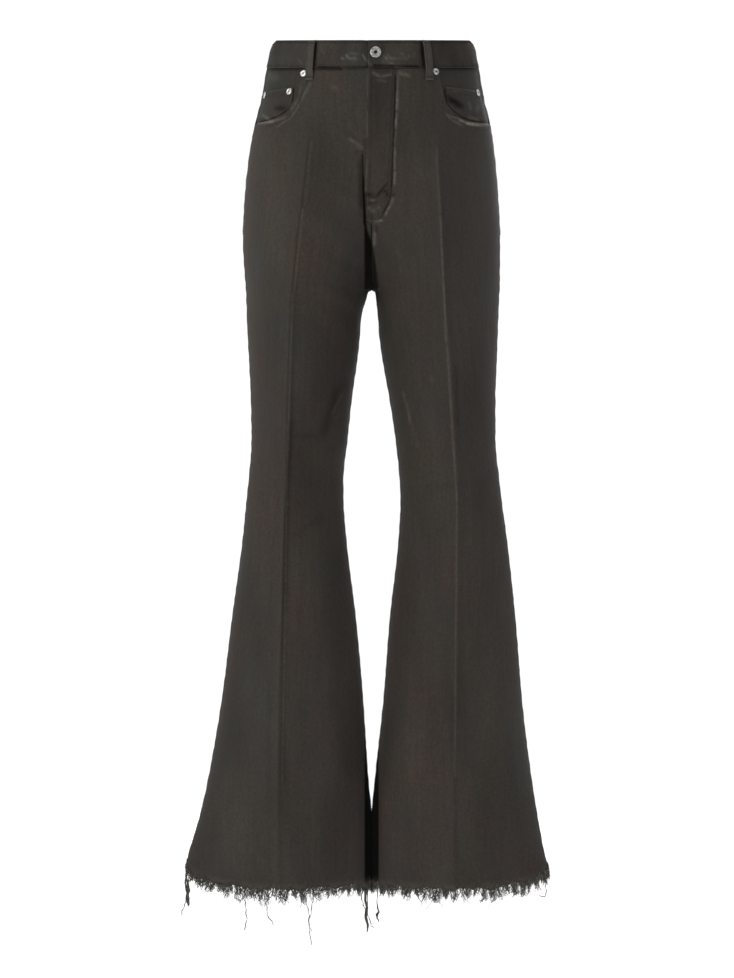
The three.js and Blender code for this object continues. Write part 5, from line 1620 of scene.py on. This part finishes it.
# %% Long yarns: leg, start across the front, and the points they pass
LONG_YARNS = (
    (-1, (-254.9, -1126), (
        (-255.2, -1142, 1.1), (-253.3, -1157, 1.6), (-253.4, -1166, 1.2), (-253, -1176, 0.5),
    )),
    (-1, (-256, -1130), (
        (-256.6, -1148, 0.8), (-255, -1160, 1.4), (-254.2, -1171, 0.9), (-254.6, -1175, 0.4),
    )),
    (-1, (-252.5, -1135), (
        (-253, -1152, 0.5), (-256.5, -1172, 0.5), (-261, -1181, 0.4), (-261.5, -1190, 0.3),
    )),
    (-1, (-178, -1156), (
        (-175, -1166, 0.5), (-171.5, -1178, 0.45), (-172, -1192, 0.4), (-173.5, -1206, 0.3),
    )),
    (-1, (-147, -1158), (
        (-145, -1171, 0.45), (-142, -1185, 0.4), (-137, -1194, 0.35), (-134.5, -1198, 0.3),
    )),
    (-1, (-90, -1162), (
        (-89, -1175, 0.45), (-85, -1186, 0.45), (-87, -1202, 0.45), (-81.5, -1226, 0.3),
    )),
    (-1, (-80, -1162), (
        (-81.5, -1174, 0.45), (-84.5, -1185, 0.4), (-86, -1198, 0.4), (-84, -1208, 0.3),
    )),
    (-1, (-9, -1152), (
        (-8, -1178, 1.2), (-7.5, -1186, 1.6), (-6.5, -1204, 1.1), (-6, -1212, 0.4),
    )),
    (-1, (-11, -1152), (
        (-14, -1165, 0.5), (-13, -1174, 0.5), (-10, -1178, 0.5), (-7.4, -1186, 0.4),
    )),
    (-1, (-6, -1154), (
        (-6, -1180, 0.6), (-4, -1196, 0.5), (-0.5, -1204, 0.4), (2, -1208, 0.3),
    )),
    (1, (8, -1156), (
        (8, -1176, 0.5), (8.3, -1186, 1.3), (7.6, -1193, 1.3), (8.4, -1199, 0.4),
    )),
    (1, (238, -1128), (
        (240, -1144, 0.45), (241.2, -1156, 0.45), (238, -1165, 0.5), (231.5, -1163, 0.4),
    )),
)


def long_paths(leg):
    made, thickness = [], []
    for row_leg, (x0, z0), points in LONG_YARNS:
        if row_leg != leg:
            continue
        strands = 2 if points[0][2] < 0.7 else 5
        y0 = float(hem_line(leg, -1, t_at(leg, -1, min(abs(x0), 250.0), HEM_Z + 10.0))[1])
        stops = np.array([(x0, z0, points[0][2])] + [tuple(p) for p in points])
        at = np.linspace(0, len(stops) - 1, YARN_STEPS * 2 + 1)
        x, z, size = (np.interp(at, np.arange(len(stops)), stops[:, k]) for k in range(3))
        x = x + (0.9 * np.sin(at * 3.3 + x0) + 0.5 * np.sin(at * 7.1)) * ramp(at, 0, 1)
        for strand in range(strands):
            turn = at * 2.6 + strand * 2 * math.pi / strands
            off = size * 0.75
            path = x + off * np.cos(turn), y0 + off * np.sin(turn), z - strand * 0.7 * at / at[-1]
            path = np.stack(path, axis=1)
            for start in (0, YARN_STEPS):
                part = slice(start, start + YARN_STEPS + 1)
                made.append(path[part])
                thickness.append(np.maximum(size[part] * 0.95, 0.42))
    return np.array(made), np.array(thickness)


# %% Yarn finish
yarn_cloth, tree, shader, place = new_finish("frayed yarn")
tuft = range_node(tree, noise_node(tree, place, 70, 4, 0.6), 0.35, 0.68)
single = range_node(tree, noise_node(tree, place, 900, 2, 0.5), 0.46, 0.62)
shade = colour_mix(tree, tuft, (0.013, 0.011, 0.0095), (0.036, 0.031, 0.026))
shade = colour_mix(tree, times(tree, single, 0.75), shade, (0.19, 0.168, 0.14))
matt = range_node(tree, single, 0, 1, 0.75, 0.9)
settle(shader, {"Base Color": shade, "Roughness": matt, "Sheen Weight": 0.15})

# %% Fringes
FRINGE_COUNT = 1450
fringes = {}
for leg in (1, -1):
    parts = [fringe_paths(leg, face, FRINGE_COUNT) for face in (-1, 1)] + [long_paths(leg)]
    copies = np.concatenate([yarns(paths, thick) for paths, thick in parts])
    fringes[leg] = joined(f"torn_hem_{SIDE[leg]}", copies, YARN_FACES, yarn_cloth)
    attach(fringes[leg], "root")
    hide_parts(f"frayed_hem_{SIDE[leg]}")
    print("torn hem", SIDE[leg], len(copies), "yarns", len(fringes[leg].data.polygons), "faces")

# %% Cut of each panel, width and length of its cloth laid flat
CUTS = {
    (1, -1): ((0.33, 1.13), 0.268), (-1, -1): ((0.34, 1.13), 0.269),
    (1, 1): ((0.33, 1.10), 0.27), (-1, 1): ((0.34, 1.10), 0.271),
}
for (leg, face), piece in panels.items():
    size, area = CUTS[(leg, face)]

# %% [markdown]
# ## Studio
# The garment hangs by its waist in plain soft light, as in a catalogue: a white floor, a
# white room, a large soft light on the left of the camera, a weaker one on the right, one
# from above and one from behind. Soft light keeps the dark cloth readable. The camera stands
# level with the knees, four and a half metres off, and takes in the whole garment.

# %% Floor
bm = bmesh.new()
bmesh.ops.create_circle(bm, cap_ends=True, segments=96, radius=3.2)
bmesh.ops.translate(bm, verts=bm.verts, vec=(0, 0, -1.36))
floor = placed("floor", mesh_of(bm, "floor"))
pale, _, shader, _ = new_finish("pale floor")
settle(shader, {
    "Base Color": (0.93, 0.93, 0.93, 1), "Roughness": 0.9,
    "Emission Color": (1, 1, 1, 1), "Emission Strength": 0.6,
})
floor.data.materials.append(pale)

# %% Room: white to the eye, softer as a light
world = bpy.data.worlds.new("white room")
world.use_nodes = True
bpy.context.scene.world = world
tree = world.node_tree
tree.nodes.clear()
to_eye, to_cloth = (tree.nodes.new("ShaderNodeBackground") for _ in range(2))
settle(to_eye, {"Color": (1, 1, 1, 1), "Strength": 1.05})
settle(to_cloth, {"Color": (0.97, 0.985, 1, 1), "Strength": 0.17})
choose = tree.nodes.new("ShaderNodeMixShader")
ray = tree.nodes.new("ShaderNodeLightPath")
output = tree.nodes.new("ShaderNodeOutputWorld")
shiny = times(tree, ray.outputs["Is Glossy Ray"], 0.4)
feed(choose.inputs[0], math_node(tree, "MAXIMUM", ray.outputs["Is Camera Ray"], shiny))
feed(choose.inputs[1], to_cloth.outputs[0])
feed(choose.inputs[2], to_eye.outputs[0])
feed(output.inputs["Surface"], choose.outputs[0])
bpy.context.scene.view_settings.view_transform = "Standard"


# %% Lights
def soft_light(name, at, towards, size, power, colour=(1, 1, 1)):
    light = bpy.data.lights.new(name, "AREA")
    light.shape = "RECTANGLE"
    light.size, light.size_y = size
    light.energy = power
    light.color = colour
    lamp = placed(name, light)
    lamp.location = at
    lamp.rotation_euler = (Vector(towards) - Vector(at)).to_track_quat("-Z", "Y").to_euler()


soft_light("key", (-3.0, -2.6, 0.5), (0, 0, -0.6), (1.6, 2.6), 66, (1, 0.985, 0.96))
soft_light("fill", (3.2, -2.4, 0.0), (0, 0, -0.6), (1.6, 2.4), 18)
soft_light("top", (0, -0.6, 2.6), (0, 0, -0.4), (2.2, 2.2), 20)
soft_light("rear", (0.4, 3.2, 0.8), (0, 0, -0.6), (2.4, 2.4), 42)

# %% Camera: its frame is the photograph's, and the columns and rows are counted in pixels
PIXEL = 1.385 * MM
CAMERA_BACK = EYE_BACK * MM
PHOTO_WIDTH, PHOTO_HEIGHT = 734, 978
MIDDLE_COLUMN, WAIST_ROW, WAIST_TOP = 371.7, 40, 0.0195
camera_data = bpy.data.cameras.new("camera")
camera_data.sensor_width = 36
camera_data.lens = 18 / (PHOTO_HEIGHT * PIXEL / 2 / CAMERA_BACK)
camera = placed("camera", camera_data)
camera.location = (
    (PHOTO_WIDTH / 2 - MIDDLE_COLUMN) * PIXEL,
    -CAMERA_BACK,
    WAIST_TOP - (PHOTO_HEIGHT / 2 - WAIST_ROW) * PIXEL,
)
camera.rotation_euler = (math.pi / 2, 0, 0)
bpy.context.scene.camera = camera
print("lens", round(camera_data.lens, 1))
